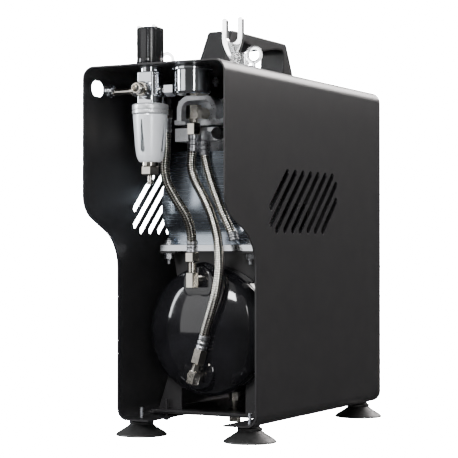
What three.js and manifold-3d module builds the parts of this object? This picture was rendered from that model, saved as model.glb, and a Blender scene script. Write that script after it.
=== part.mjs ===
// Cabinet airbrush compressor: a bent steel case round a piston compressor on a horizontal air tank.
// Millimetres, +Z up. Inside the assembly y runs from the front edge of the case (0) to its back,
// x runs from left to right about the middle plane, and z starts at the underside of the case.
import * as THREE from 'three';
import { mergeVertices } from 'three/addons/utils/BufferGeometryUtils.js';
import Module from 'manifold-3d';

const wasm = await Module();
wasm.setup();

// ---- driving dimensions ----
const GAP = 0.3; // clearance kept between touching pieces
const CASE = { width: 150, depth: 358, height: 336, sheet: 1.6, bend: 10, flange: 34 };
const FRONT_CUT = {
  setback: 61, top: 217, upperRadius: 25, lowerRadius: 40, turn: THREE.MathUtils.degToRad(64),
};
const VENT = {
  y0: 92, y1: 240, z0: 184, z1: 240, start: 104, pitch: 17.3, width: 7,
  slope: THREE.MathUtils.degToRad(44), first: -2, last: 6,
};
const HOSE_HOLE = { y: 24.5, z: 319, width: 22, height: 15 };
const FOOT = { x: 60, front: 80, rear: 335, height: 17, radius: 25.6, neck: 9.5, stud: 2 };
const HANDLE = {
  y0: 103, y1: 276, frontInset: 28, rearInset: 24, height: 47, width: 28,
  bore0: 137, bore1: 245, gripDrop: 8, bolts: [122, 260],
};
const REG = { x: -17, y: 25, port: 314.7, bottom: 302.6, top: 331.6, radius: 12.5 };
const KNOB = { z0: 340, z1: 373.5, radius: 13, flats: 10, groove: 0.8 };
const GAUGE = { x: 27, y: 28, z0: 309, radius: 17, bezel: 19.5 };
const HOLDER = { x: 48, y: 80, prong: 50, spread: 8.5, arm: 2.4 };
const TANK = { z: 85.6, radius: 64, dome: 27, front: 108.5, rear: 300, wall: 2, pad: 17, padFace: 86 };
const PLATE = { x: 52, y0: 102, y1: 300, z0: 163.7, z1: 169.5 };
const MOTOR = { x: -11, z: 213, crankThrow: 3, rodY: 134.5 };
const HEAD = { x: 37, y0: 112, y1: 160, z0: 288.5, z1: 313 };
const HOOD = { x: -7.5, halfWidth: 22, top: 316, crown: 14, y0: 96, wall: 5 };
const COWL = { y: 136, sheet: 1.6 };
const HOSE = { radius: 4.8, sides: 9, ferrule: 5.5 };
const SADDLE = { front: 118, rear: 288, flange: 14, sheet: 2, gap: 36, studX: 50, studs: [111, 295] };
const COCK = { x: 0, y: 162, hexTop: 21.3, hexBottom: 13, bottom: -9 };
const BASE = { x: 66.5, y0: 108, y1: 346, z0: 1.9, z1: 3.9 };

// ---- materials ----
const paint = (color, metalness, roughness) => (
  new THREE.MeshStandardMaterial({ color, metalness, roughness })
);
const MAT = {
  caseBlack: paint(0x1b1b1d, 0.4, 0.45),
  plasticBlack: paint(0x161616, 0, 0.5),
  rubber: paint(0x141414, 0, 0.85),
  chrome: paint(0xd8dadd, 1, 0.12),
  steel: paint(0xb9bec6, 1, 0.3),
  nickel: paint(0xc4c2b4, 1, 0.25),
  aluminium: paint(0xdfe3e8, 0.9, 0.35),
  enamel: paint(0x0c0d10, 0.2, 0.08),
  clear: paint(0xf2f4f5, 0, 0.08),
  bowl: paint(0xd9dde0, 0.3, 0.4),
  dial: paint(0xf4f4f0, 0, 0.6),
  needle: paint(0xb01818, 0, 0.5),
};

// ---- solid helpers ----
function solid(geometry) {
  const bare = new THREE.BufferGeometry();
  bare.setAttribute('position', geometry.getAttribute('position'));
  bare.setIndex(geometry.index);
  const merged = mergeVertices(bare, 1e-4);
  const corners = merged.index.array;
  const kept = [];
  for (let i = 0; i < corners.length; i += 3) {
    const [a, b, c] = [corners[i], corners[i + 1], corners[i + 2]];
    if (a !== b && b !== c && c !== a) kept.push(a, b, c);
  }
  return new wasm.Manifold(new wasm.Mesh({
    numProp: 3,
    vertProperties: new Float32Array(merged.getAttribute('position').array),
    triVerts: new Uint32Array(kept),
  }));
}

function toGeometry(body) {
  const mesh = body.getMesh();
  const geometry = new THREE.BufferGeometry();
  geometry.setAttribute('position', new THREE.BufferAttribute(new Float32Array(mesh.vertProperties), 3));
  geometry.setIndex(new THREE.BufferAttribute(new Uint32Array(mesh.triVerts), 1));
  geometry.computeVertexNormals();
  return geometry;
}

const join = (...bodies) => bodies.reduce((whole, body) => whole.add(body));
const cut = (body, ...tools) => tools.reduce((whole, tool) => whole.subtract(tool), body);

// A box given by its low and high limits along each axis.
function box(x0, x1, y0, y1, z0, z1) {
  const g = new THREE.BoxGeometry(x1 - x0, y1 - y0, z1 - z0);
  return solid(g.translate((x0 + x1) / 2, (y0 + y1) / 2, (z0 + z1) / 2));
}

// A cylinder from one point to another; sides = 6 makes a hexagonal bar.
function rod(from, to, radius, sides = 20, endRadius = radius) {
  const start = new THREE.Vector3(...from);
  const end = new THREE.Vector3(...to);
  const along = end.clone().sub(start);
  const g = new THREE.CylinderGeometry(endRadius, radius, along.length(), sides);
  const up = new THREE.Vector3(0, 1, 0);
  g.applyQuaternion(new THREE.Quaternion().setFromUnitVectors(up, along.clone().normalize()));
  const middle = start.add(end).multiplyScalar(0.5);
  return solid(g.translate(middle.x, middle.y, middle.z));
}

// A solid of revolution about a vertical axis; the profile lists [radius, z] from bottom to top.
function turned(profile, x, y, sides = 28) {
  const g = new THREE.LatheGeometry(profile.map(([r, z]) => new THREE.Vector2(r, z)), sides);
  return solid(g.rotateX(Math.PI / 2).translate(x, y, 0));
}

// An outline in the plane facing the front (x, z), given a depth along y.
function frontPlate(shape, y0, y1, curveSegments = 6) {
  const g = new THREE.ExtrudeGeometry(shape, { depth: y1 - y0, bevelEnabled: false, curveSegments });
  return solid(g.rotateX(Math.PI / 2).translate(0, y1, 0));
}

// An outline in the side plane (y, z), given a width along x.
function sidePlate(shape, x0, x1, curveSegments = 6) {
  const g = new THREE.ExtrudeGeometry(shape, { depth: x1 - x0, bevelEnabled: false, curveSegments });
  const basis = new THREE.Matrix4().makeBasis(
    new THREE.Vector3(0, 1, 0),
    new THREE.Vector3(0, 0, 1),
    new THREE.Vector3(1, 0, 0),
  );
  return solid(g.applyMatrix4(basis).translate(x0, 0, 0));
}

// An outline seen from above (x, y), given a height along z.
function topPlate(shape, z0, z1, curveSegments = 6) {
  const g = new THREE.ExtrudeGeometry(shape, { depth: z1 - z0, bevelEnabled: false, curveSegments });
  return solid(g.translate(0, 0, z0));
}

function polygon(points) {
  return new THREE.Shape(points.map(([a, b]) => new THREE.Vector2(a, b)));
}

// A rectangle with round corners, centred on (a, b).
function roundRect(a, b, width, height, radius) {
  const [w, h] = [width / 2, height / 2];
  const shape = new THREE.Shape();
  shape.moveTo(a - w + radius, b - h);
  shape.lineTo(a + w - radius, b - h);
  shape.absarc(a + w - radius, b - h + radius, radius, -Math.PI / 2, 0);
  shape.lineTo(a + w, b + h - radius);
  shape.absarc(a + w - radius, b + h - radius, radius, 0, Math.PI / 2);
  shape.lineTo(a - w + radius, b + h);
  shape.absarc(a - w + radius, b + h - radius, radius, Math.PI / 2, Math.PI);
  shape.lineTo(a - w, b - h + radius);
  shape.absarc(a - w + radius, b - h + radius, radius, Math.PI, 1.5 * Math.PI);
  return shape;
}

// A slot with round ends between two points of a side panel.
function slotShape(ya, za, yb, zb, width) {
  const angle = Math.atan2(zb - za, yb - ya);
  const shape = new THREE.Shape();
  shape.absarc(ya, za, width / 2, angle + Math.PI / 2, angle + 1.5 * Math.PI);
  shape.absarc(yb, zb, width / 2, angle - Math.PI / 2, angle + Math.PI / 2);
  return shape;
}

// A round tube of constant section along a smooth curve through the given points.
function tube(points, radius, steps, sides = HOSE.sides) {
  const curve = new THREE.CatmullRomCurve3(points.map((p) => new THREE.Vector3(...p)), false, 'centripetal');
  const ring = [];
  for (let i = 0; i < sides; i += 1) {
    const a = (2 * Math.PI * i) / sides;
    ring.push(new THREE.Vector2(radius * Math.cos(a), radius * Math.sin(a)));
  }
  const along = { steps, extrudePath: curve, bevelEnabled: false };
  return solid(new THREE.ExtrudeGeometry(new THREE.Shape(ring), along));
}

const machine = new THREE.Group();
function add(name, body, material) {
  const mesh = new THREE.Mesh(toGeometry(body), material);
  mesh.name = name;
  machine.add(mesh);
}

// ---- case ----
// The outline of the bent sheet seen from the front: sides, top, and a flange turned in under each side.
function wrapSection() {
  const { width, height, sheet, bend, flange } = CASE;
  const w = width / 2;
  const tip = w - flange;
  const inner = bend - sheet;
  const s = new THREE.Shape();
  s.moveTo(-tip, 0);
  s.lineTo(-tip, sheet);
  s.lineTo(-w + bend, sheet);
  s.absarc(-w + bend, bend, inner, 1.5 * Math.PI, Math.PI, true);
  s.lineTo(-w + sheet, height - bend);
  s.absarc(-w + bend, height - bend, inner, Math.PI, Math.PI / 2, true);
  s.lineTo(w - bend, height - sheet);
  s.absarc(w - bend, height - bend, inner, Math.PI / 2, 0, true);
  s.lineTo(w - sheet, bend);
  s.absarc(w - bend, bend, inner, 0, -Math.PI / 2, true);
  s.lineTo(tip, sheet);
  s.lineTo(tip, 0);
  s.lineTo(w - bend, 0);
  s.absarc(w - bend, bend, bend, -Math.PI / 2, 0);
  s.lineTo(w, height - bend);
  s.absarc(w - bend, height - bend, bend, 0, Math.PI / 2);
  s.lineTo(-w + bend, height);
  s.absarc(-w + bend, height - bend, bend, Math.PI / 2, Math.PI);
  s.lineTo(-w, bend);
  s.absarc(-w + bend, bend, bend, Math.PI, 1.5 * Math.PI);
  return s;
}

// The waste in front of the S-shaped step, where the lower front edge stands back.
function frontWaste() {
  const { setback, top, upperRadius, lowerRadius, turn } = FRONT_CUT;
  const y1 = upperRadius * (1 - Math.cos(turn));
  const z1 = top - upperRadius * Math.sin(turn);
  const y2 = setback - lowerRadius * (1 - Math.cos(turn));
  const z2 = z1 - (y2 - y1) / Math.tan(turn);
  const lowCentre = z2 - lowerRadius * Math.sin(turn);
  const s = new THREE.Shape();
  s.moveTo(-5, top);
  s.lineTo(0, top);
  s.absarc(upperRadius, top, upperRadius, Math.PI, Math.PI + turn);
  s.lineTo(y2, z2);
  s.absarc(setback - lowerRadius, lowCentre, lowerRadius, turn, 0, true);
  s.lineTo(setback, -5);
  s.lineTo(-5, -5);
  return sidePlate(s, -CASE.width, CASE.width, 6);
}

// One slanted vent slot, clipped to the vent field.
function ventSlot(index) {
  const run = Math.tan(VENT.slope);
  const base = VENT.start + index * VENT.pitch;
  const ya = Math.max(base, VENT.y0);
  const za = VENT.z0 + (ya - base) * run;
  const yb = Math.min(base + (VENT.z1 - VENT.z0) / run, VENT.y1);
  const zb = VENT.z0 + (yb - base) * run;
  return sidePlate(slotShape(ya, za, yb, zb, VENT.width), -CASE.width, CASE.width, 3);
}

function caseWrap() {
  const { width, depth, height, sheet } = CASE;
  const w = width / 2;
  let wrap = frontPlate(wrapSection(), 0, depth, 4);
  wrap = cut(wrap, frontWaste());
  for (let i = VENT.first; i <= VENT.last; i += 1) wrap = cut(wrap, ventSlot(i));
  for (const side of [-1, 1]) {
    const [a, b] = side < 0 ? [-w + 0.5, -60] : [60, w - 0.5];
    wrap = join(wrap, box(a, b, depth - sheet, depth, 12, height - 12));
  }
  const { y: holeY, z: holeZ, width: holeWidth, height: holeHeight } = HOSE_HOLE;
  const half = (holeWidth - holeHeight) / 2;
  const hoseHole = slotShape(holeY - half, holeZ, holeY + half, holeZ, holeHeight);
  wrap = cut(
    wrap,
    sidePlate(hoseHole, -w - 5, -w + 5, 6),
    rod([REG.x, REG.y, height - 10], [REG.x, REG.y, height + 10], 11, 20),
    rod([GAUGE.x, GAUGE.y, height - 10], [GAUGE.x, GAUGE.y, height + 10], GAUGE.radius + GAP, 28),
  );
  for (const y of HANDLE.bolts) wrap = cut(wrap, rod([0, y, height - 8], [0, y, height + 8], 2.5, 12));
  for (const [x, y] of footPlaces()) wrap = cut(wrap, rod([x, y, -5], [x, y, 5], 2.6, 12));
  for (const x of [-SADDLE.studX, SADDLE.studX]) {
    for (const y of SADDLE.studs) wrap = cut(wrap, rod([x, y, -5], [x, y, 5], 2.4, 12));
  }
  return wrap;
}

const footPlaces = () => [-1, 1].flatMap((s) => [[s * FOOT.x, FOOT.front], [s * FOOT.x, FOOT.rear]]);

function basePlate() {
  const hole = (x, y, radius) => rod([x, y, 0], [x, y, 9], radius, 14);
  let plate = box(-BASE.x, BASE.x, BASE.y0, BASE.y1, BASE.z0, BASE.z1);
  for (const s of [-1, 1]) {
    plate = cut(plate, hole(s * FOOT.x, FOOT.rear, 2.6));
    for (const y of SADDLE.studs) plate = cut(plate, hole(s * SADDLE.studX, y, 2.4));
  }
  return cut(plate, hole(COCK.x, COCK.y, 7));
}

// The back cover, with a fan grille and cut-outs for the inlet and the switch.
const REAR = {
  y1: CASE.depth - CASE.sheet - GAP, thickness: 1.6, width: 145.8, z0: 24, z1: 333.8,
  partZ: 288, switchX: -26, inletX: 24, grille: 95, grilleRadius: 45, slots: 8, slotPitch: 10, slot: 4.5,
};
function rearPanel() {
  const y0 = REAR.y1 - REAR.thickness;
  const height = REAR.z1 - REAR.z0;
  const outline = roundRect(0, REAR.z0 + height / 2, REAR.width, height, CASE.bend - CASE.sheet);
  let panel = frontPlate(outline, y0, REAR.y1, 4);
  for (let i = 0; i < REAR.slots; i += 1) {
    const offset = (i - (REAR.slots - 1) / 2) * REAR.slotPitch;
    const half = Math.sqrt(REAR.grilleRadius ** 2 - offset ** 2);
    const slot = roundRect(0, REAR.grille + offset, 2 * half, REAR.slot, REAR.slot / 2 - 0.05);
    panel = cut(panel, frontPlate(slot, y0 - 3, REAR.y1 + 3, 2));
  }
  return cut(
    panel,
    box(REAR.switchX - 7.6, REAR.switchX + 7.6, y0 - 3, REAR.y1 + 3, REAR.partZ - 10.8, REAR.partZ + 10.8),
    box(REAR.inletX - 14, REAR.inletX + 14, y0 - 3, REAR.y1 + 3, REAR.partZ - 10.6, REAR.partZ + 10.6),
  );
}

// A suction foot: a hollow rubber bell bonded to its threaded stud.
function foot(x, y) {
  const bell = turned([
    [0, -12.5], [14, -13.8], [FOOT.radius - 1.7, -FOOT.height], [FOOT.radius, -FOOT.height],
    [FOOT.radius, -16], [21.5, -13], [14, -7.8], [FOOT.neck + 0.4, -3.5], [FOOT.neck, -GAP], [0, -GAP],
  ], x, y, 20);
  return join(bell, rod([x, y, -5], [x, y, 10.5], FOOT.stud, 8));
}

// ---- carrying handle ----
function handleBody() {
  const { y0, y1, frontInset, rearInset, height, width, bore0, bore1, gripDrop } = HANDLE;
  const z0 = CASE.height + GAP;
  const z1 = CASE.height + height;
  const r = 5;
  const outline = new THREE.Shape();
  outline.moveTo(y0, z0);
  outline.lineTo(y1, z0);
  outline.lineTo(y1 - rearInset + 1.5, z1 - r);
  outline.quadraticCurveTo(y1 - rearInset, z1, y1 - rearInset - r, z1);
  outline.lineTo(y0 + frontInset + r, z1);
  outline.quadraticCurveTo(y0 + frontInset, z1, y0 + frontInset - 1.5, z1 - r);
  const middle = (bore0 + bore1) / 2;
  const bore = new THREE.Path();
  bore.moveTo(bore0, z0 + 5);
  bore.lineTo(bore0, z1 - gripDrop - 5);
  bore.quadraticCurveTo(bore0, z1 - gripDrop, bore0 + 6, z1 - gripDrop);
  bore.quadraticCurveTo(bore0 + 18, z1 - gripDrop - 4.5, middle, z1 - gripDrop - 4.5);
  bore.quadraticCurveTo(bore1 - 18, z1 - gripDrop - 4.5, bore1 - 6, z1 - gripDrop);
  bore.quadraticCurveTo(bore1, z1 - gripDrop, bore1, z1 - gripDrop - 5);
  bore.lineTo(bore1, z0 + 5);
  outline.holes.push(bore);
  let body = sidePlate(outline, -width / 2, width / 2, 5);
  for (const y of HANDLE.bolts) body = cut(body, rod([0, y, z0 - 2], [0, y, z0 + 8], 2.6, 12));
  return body;
}

// A bolt up through the top of the case into the handle, with its nut below.
function handleBolt(y) {
  const under = CASE.height - CASE.sheet - GAP;
  return join(
    rod([0, y, under - 8], [0, y, CASE.height + 7], 2, 10),
    rod([0, y, under - 4.5], [0, y, under], 4.2, 6),
  );
}

// ---- regulator, filter and gauge ----
function regulatorBody() {
  const { x, y, port, bottom, top, radius } = REG;
  const round = rod([x, y, bottom], [x, y, top], radius, 32);
  const flats = box(x - 20, x + 20, y - 10, y + 10, bottom, top);
  const bonnet = rod([x, y, top - 2], [x, y, 345], 10.2, 28);
  const outlet = rod([x, y - 8, port], [x, y - 15.5, port], 7.4, 20);
  const inlet = rod([x, y + 8, port], [x, y + 35, port], 5, 16);
  const drop = rod([x, y + 29, port + 5], [x, y + 29, 300], 6, 6);
  const left = rod([x - 8, y, port], [x - 16, y, port], 6.6, 6);
  const right = rod([x + 8, y, port], [x + 14, y, port], 5, 16);
  const screwBore = rod([x, y, top - 6], [x, y, 350], 4.6, 20);
  return cut(join(round.intersect(flats), bonnet, outlet, inlet, drop, left, right), screwBore);
}

function lockRing() {
  const z0 = CASE.height + GAP;
  const ring = rod([REG.x, REG.y, z0], [REG.x, REG.y, z0 + 3], 16.2, 24);
  return cut(ring, rod([REG.x, REG.y, z0 - 1], [REG.x, REG.y, z0 + 5], 10.6, 28));
}

function adjustingScrew() {
  return join(
    rod([REG.x, REG.y, 327], [REG.x, REG.y, 352], 4, 16),
    rod([REG.x, REG.y, 351], [REG.x, REG.y, 362], 5, 6),
  );
}

// The grooved knob slides up on the hexagon of the adjusting screw to unlock, and turns with it.
function pressureKnob() {
  const ring = [];
  const corners = KNOB.flats * 5;
  for (let i = 0; i < corners; i += 1) {
    const a = (2 * Math.PI * i) / corners;
    const r = KNOB.radius - (i % 5 === 0 ? KNOB.groove : 0);
    ring.push([REG.x + r * Math.cos(a), REG.y + r * Math.sin(a)]);
  }
  const z0 = KNOB.z0;
  const body = join(
    topPlate(polygon(ring), z0, KNOB.z1 - 1),
    rod([REG.x, REG.y, KNOB.z1 - 1], [REG.x, REG.y, KNOB.z1], KNOB.radius - 1, 36, KNOB.radius - 2),
  );
  return cut(
    body,
    rod([REG.x, REG.y, z0 - 1], [REG.x, REG.y, 346], 10.7, 28),
    rod([REG.x, REG.y, z0 - 1], [REG.x, REG.y, 363], 5.3, 6),
  );
}

function frontOutlet() {
  const { x, y, port } = REG;
  const face = y - 15.5 - GAP;
  return cut(
    join(
      rod([x, face, port], [x, face - 2.5, port], 6.8, 24),
      rod([x, face - 2, port], [x, -1, port], 5.2, 20),
    ),
    rod([x, -3, port], [x, face - 1, port], 3.7, 16),
  );
}

function sideOutlet() {
  const { x, y, port } = REG;
  return join(
    rod([x - 16 - GAP, y, port], [x - 22, y, port], 4.6, 16),
    rod([x - 21, y, port], [-57, y, port], 3.1, 14),
  );
}

function sideCoupler() {
  const { y, port } = REG;
  const z = port + 1.5;
  return cut(
    join(
      rod([-57 - GAP, y, z], [-60, y, z], 5.2, 20),
      rod([-59.5, y, z], [-66, y, z], 6.4, 24),
    ),
    rod([-67, y, z], [-61, y, z], 3.9, 16),
  );
}

function bowlCollar() {
  const z1 = REG.bottom - GAP;
  return cut(
    rod([REG.x, REG.y, 291.8], [REG.x, REG.y, z1], 17.2, 36),
    rod([REG.x, REG.y, 291], [REG.x, REG.y, 299], 10.5, 24),
  );
}

function bowlGuard() {
  const shell = turned([
    [8.7, 247], [11, 248.6], [12.9, 253], [14.2, 262], [16.2, 291.5],
    [14.8, 291.5], [12.8, 262], [11.5, 254], [10, 250.2], [8.7, 249.4], [8.7, 247],
  ], REG.x, REG.y, 24);
  let guard = shell;
  for (let i = 0; i < 4; i += 1) {
    const a = (i * Math.PI) / 2;
    const slot = topPlate(roundRect(0, 14, 3.4, 9, 1), 257, 287, 1);
    guard = cut(guard, slot.rotate([0, 0, THREE.MathUtils.radToDeg(a)]).translate([REG.x, REG.y, 0]));
  }
  return guard;
}

function filterBowl() {
  return turned([
    [0, 249.6], [8.3, 250.2], [10.4, 254.5], [13.6, 291.4],
    [12.1, 291.4], [9, 255], [7.4, 251.8], [0, 251.4],
  ], REG.x, REG.y, 20);
}

const filterElement = () => rod([REG.x, REG.y, 262], [REG.x, REG.y, 298.5], 6.5, 16);

function drainBody() {
  return cut(
    join(
      rod([REG.x, REG.y, 243], [REG.x, REG.y, 249.3], 8.3, 24),
      rod([REG.x, REG.y, 235], [REG.x, REG.y, 243.2], 8.9, 6),
    ),
    rod([REG.x, REG.y, 233], [REG.x, REG.y, 246], 3, 14),
  );
}

const drainStem = () => join(
  rod([REG.x, REG.y, 226.5], [REG.x, REG.y, 240.5], 2.5, 12),
  rod([REG.x, REG.y, 226], [REG.x, REG.y, 228.5], 3.4, 12),
);

function gaugeCase() {
  const { x, y, z0, radius, bezel } = GAUGE;
  const rim = CASE.height - CASE.sheet - GAP;
  const top = CASE.height + 0.8;
  return cut(
    join(
      rod([x, y, z0], [x, y, top], radius, 32),
      rod([x, y, rim - 3], [x, y, rim], bezel, 32),
    ),
    rod([x, y, 325], [x, y, top + 1], 15.4, 28),
  );
}

const gaugeDial = () => cut(
  rod([GAUGE.x, GAUGE.y, 325.3], [GAUGE.x, GAUGE.y, 326.3], 15, 24),
  rod([GAUGE.x, GAUGE.y, 324], [GAUGE.x, GAUGE.y, 328], 1, 12),
);

function gaugeNeedle() {
  const { x, y } = GAUGE;
  const blade = topPlate(polygon([[-1.2, -4], [1.2, -4], [0.4, 11.5], [-0.4, 11.5]]), 328, 328.8);
  const pin = rod([x, y, 325.6], [x, y, 330], 0.8, 12);
  const hub = rod([x, y, 327.6], [x, y, 329.4], 2, 14);
  return join(blade.rotate([0, 0, 135]).translate([x, y, 0]), pin, hub);
}

const gaugeLens = () => rod([GAUGE.x, GAUGE.y, 334], [GAUGE.x, GAUGE.y, CASE.height + 0.4], 15.1, 28);

function gaugeNut() {
  const { y, port } = REG;
  const start = REG.x + 14 + GAP;
  const end = GAUGE.x - GAUGE.radius + 0.5;
  const pipe = rod([start, y, port], [start + 4.5, y, port], 3.2, 14);
  const bar = join(pipe, rod([start + 4, y, port], [end, y, port], 6.9, 6));
  return cut(bar, rod([GAUGE.x, GAUGE.y, 300], [GAUGE.x, GAUGE.y, 330], GAUGE.radius + GAP, 32));
}

// ---- clear airbrush holder ----
// A faceted block carries a fork for the airbrush body and a ring for its cap.
function airbrushHolder(side) {
  const { y, prong, spread, arm } = HOLDER;
  const x = side * HOLDER.x;
  const z0 = CASE.height + GAP;
  const block = join(
    rod([x, y, z0], [x, y, z0 + 3], 11, 8),
    rod([x, y, z0 + 2.5], [x, y, z0 + 16], 10, 8, 7.4),
  );
  const fx = x - 6;
  const [inner, outer] = [spread - arm, spread + arm];
  const crotch = z0 + 31;
  const outline = new THREE.Shape();
  outline.moveTo(fx - 1, z0 + 8);
  outline.quadraticCurveTo(fx - outer + 1, z0 + 18, fx - outer, crotch - 1);
  outline.lineTo(fx - outer, z0 + prong - arm);
  outline.absarc(fx - spread, z0 + prong - arm, arm, Math.PI, 0, true);
  outline.lineTo(fx - inner, crotch);
  outline.quadraticCurveTo(fx, crotch - 8, fx + inner, crotch);
  outline.lineTo(fx + inner, z0 + prong - arm);
  outline.absarc(fx + spread, z0 + prong - arm, arm, Math.PI, 0, true);
  outline.lineTo(fx + outer, crotch - 1);
  outline.quadraticCurveTo(fx + outer - 1, z0 + 18, fx + outer - 1, z0 + 8);
  const fork = frontPlate(outline, y - 3, y + 3, 4);
  const loop = new THREE.TorusGeometry(7, 1.8, 6, 18);
  loop.rotateX(Math.PI / 2).translate(x + 16.5, y, z0 + 13);
  const stalk = box(x + 6, x + 11, y - 2.5, y + 2.5, z0 + 4, z0 + 15);
  const foot = box(x, x + 17, y - 4, y + 4, z0, z0 + 3);
  const post = box(x + 14.5, x + 18, y - 2, y + 2, z0, z0 + 6.5);
  return join(block, fork, solid(loop), foot, post, stalk);
}

// ---- air tank ----
function tankShell() {
  const { z, radius, dome, front, rear, wall, pad, padFace } = TANK;
  const vessel = (r, depth, rows, sides) => {
    const profile = [];
    for (let i = 0; i <= rows; i += 1) {
      const a = (i * Math.PI) / (2 * rows);
      profile.push(new THREE.Vector2(r * Math.sin(a), -depth * Math.cos(a)));
    }
    for (let i = rows; i >= 0; i -= 1) {
      const a = (i * Math.PI) / (2 * rows);
      profile.push(new THREE.Vector2(r * Math.sin(a), rear - front + depth * Math.cos(a)));
    }
    return solid(new THREE.LatheGeometry(profile, sides).translate(0, front, z));
  };
  const ports = Object.values(PORT);
  const pads = ports.map((pz) => rod([0, padFace, pz], [0, front + 4, pz], pad, 24));
  const bores = ports.map((pz) => rod([0, padFace - 3, pz], [0, padFace + 30, pz], 4, 10));
  bores.push(rod([COCK.x, COCK.y, 15], [COCK.x, COCK.y, 30], 3, 10));
  return cut(join(vessel(radius, dome, 6, 36), ...pads), vessel(radius - wall, dome - wall, 4, 24), ...bores);
}

const PORT = { top: 132, low: 47 };

// A sheet saddle across the case: two legs shaped to the tank, on one foot flange.
function saddle(y, flangeTo) {
  const studY = (y + flangeTo) / 2;
  const z0 = BASE.z1 + GAP;
  const web = frontPlate(polygon([[-63, z0], [63, z0], [47, 50], [-47, 50]]), y - 1.25, y + 1.25);
  const between = box(-SADDLE.gap, SADDLE.gap, y - 5, y + 5, z0 + SADDLE.sheet, 60);
  const flange = box(-63, 63, Math.min(y, flangeTo), Math.max(y, flangeTo), z0, z0 + SADDLE.sheet);
  const body = join(cut(web, between), flange);
  const studs = [-1, 1].flatMap((s) => [
    rod([s * SADDLE.studX, studY, -5], [s * SADDLE.studX, studY, 16], 1.9, 8),
    rod([s * SADDLE.studX, studY, -3.8], [s * SADDLE.studX, studY, -GAP], 4.2, 6),
  ]);
  const seat = rod([0, y - 30, TANK.z], [0, y + 30, TANK.z], TANK.radius + GAP, 60);
  return cut(join(body, ...studs), seat);
}

// A sheet frame on top of the tank: two webs shaped to it, joined by the rails that carry the machine plate.
function upperFrame() {
  const top = PLATE.z0 - GAP;
  const web = polygon([[-40, 118], [40, 118], [48, top], [-48, top]]);
  const webs = [122, 270].map((y) => frontPlate(web, y - 1.25, y + 1.25));
  const rails = [-1, 1].map((s) => box(s * 44 - 8, s * 44 + 8, PLATE.y0 + 1, PLATE.y1 - 6, top - 2, top));
  const holes = isolatorPlaces().map(([x, y]) => rod([x, y, top - 5], [x, y, top + 5], 2.4, 10));
  const seat = rod([0, 90, TANK.z], [0, 310, TANK.z], TANK.radius + GAP, 60);
  return cut(join(...webs, ...rails), seat, ...holes);
}

function tankElbowTop() {
  return join(
    rod([0, TANK.padFace - GAP, PORT.top + 3], [0, 75, PORT.top + 3], 6.4, 18),
    rod([0, 75, PORT.top - 4], [0, 75, 143], 6.6, 6),
    rod([0, 75, 142], [0, 75, 152.5], 4.6, 16),
  );
}

const LOW_LEG = new THREE.Vector3(0.29, 0, 0.957);
const lowLeg = (s) => [0.3 + LOW_LEG.x * s, 75, 38 + LOW_LEG.z * s];
function tankElbowLower() {
  return join(
    rod([0.5, TANK.padFace - GAP, PORT.low - 4], [0.5, 75, PORT.low - 4], 6.4, 18),
    rod(lowLeg(-2), lowLeg(11), 6.8, 6),
    rod(lowLeg(10), lowLeg(18), 4.6, 16),
  );
}

// The drain cock screws into the bottom of the tank and is turned by a winged knob below the base plate.
function drainCock() {
  const { x, y, hexTop, hexBottom, bottom } = COCK;
  return join(
    rod([x, y, hexTop - 1], [x, y, 25], 2.6, 10),
    rod([x, y, hexBottom], [x, y, hexTop], 5.6, 6),
    rod([x, y, bottom + 2], [x, y, hexBottom + 1], 3.4, 12),
    box(x - 6, x + 6, y - 1.4, y + 1.4, bottom, bottom + 6),
  );
}

// ---- hoses ----
// A braided hose with a crimped ferrule and a hexagon swivel nut at each end.
function hoseOutlet() {
  const route = [
    [-17, 54, 288], [-17, 54, 262], [-18.4, 54, 243], [-16.5, 56, 229], [-10, 60.5, 214],
    [-2, 66, 198], [0.3, 71.5, 184], [0, 75, 168],
  ];
  return join(
    tube(route, HOSE.radius, 18),
    rod([-17, 54, 299.7], [-17, 54, 290], 6.9, 6),
    rod([-17, 54, 291], [-17, 54, 278], HOSE.ferrule, 16),
    rod([0, 75, 172], [0, 75, 162], HOSE.ferrule, 16),
    rod([0, 75, 162.5], [0, 75, 152.8], 7.2, 6),
  );
}

function hoseFeed() {
  const route = [
    [-11.5, 98, 272], [-13.2, 98, 258], [-13, 96.8, 245], [-8, 95.5, 232], [0.5, 94, 218.5],
    [9.8, 92, 203], [16, 89.5, 190], [21.2, 86.5, 177], [25.2, 82.5, 162.5], [27.8, 78.5, 147],
    [27.8, 75.5, 133], [25.8, 73.5, 119], [21.3, 73, 104], [16.3, 73.6, 90], [11.8, 74.7, 76],
  ];
  return join(
    tube(route, HOSE.radius, 32),
    rod([-11.5, 98, 289], [-11.5, 98, 277], 7, 6),
    rod([-11.5, 98, 278], [-11.8, 98, 263], HOSE.ferrule, 16),
    rod(lowLeg(46), lowLeg(32), HOSE.ferrule, 16),
    rod(lowLeg(33), lowLeg(18.4), 7.2, 6),
  );
}

function hoseUnloader() {
  const route = [
    [-1, 101.2, 262], [0.5, 100.8, 252], [4.5, 99.5, 240], [10, 97.5, 227], [16, 96, 214],
    [22, 95.5, 201], [28, 95.5, 189], [33, 96, 178],
  ];
  return join(
    tube(route, HOSE.radius - 0.5, 16),
    rod([-1, 101.2, 271.6], [-1, 101.2, 258], HOSE.ferrule - 0.3, 16),
    rod([33, 96, 180], [34.5, 96, 173.5], HOSE.ferrule - 0.3, 14),
  );
}

// ---- compressor ----
function machinePlate() {
  let plate = box(-PLATE.x, PLATE.x, PLATE.y0, PLATE.y1, PLATE.z0, PLATE.z1);
  for (const [x, y] of isolatorPlaces()) {
    plate = cut(plate, rod([x, y, PLATE.z0 - 2], [x, y, PLATE.z1 + 2], 3, 14));
  }
  return plate;
}

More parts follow.
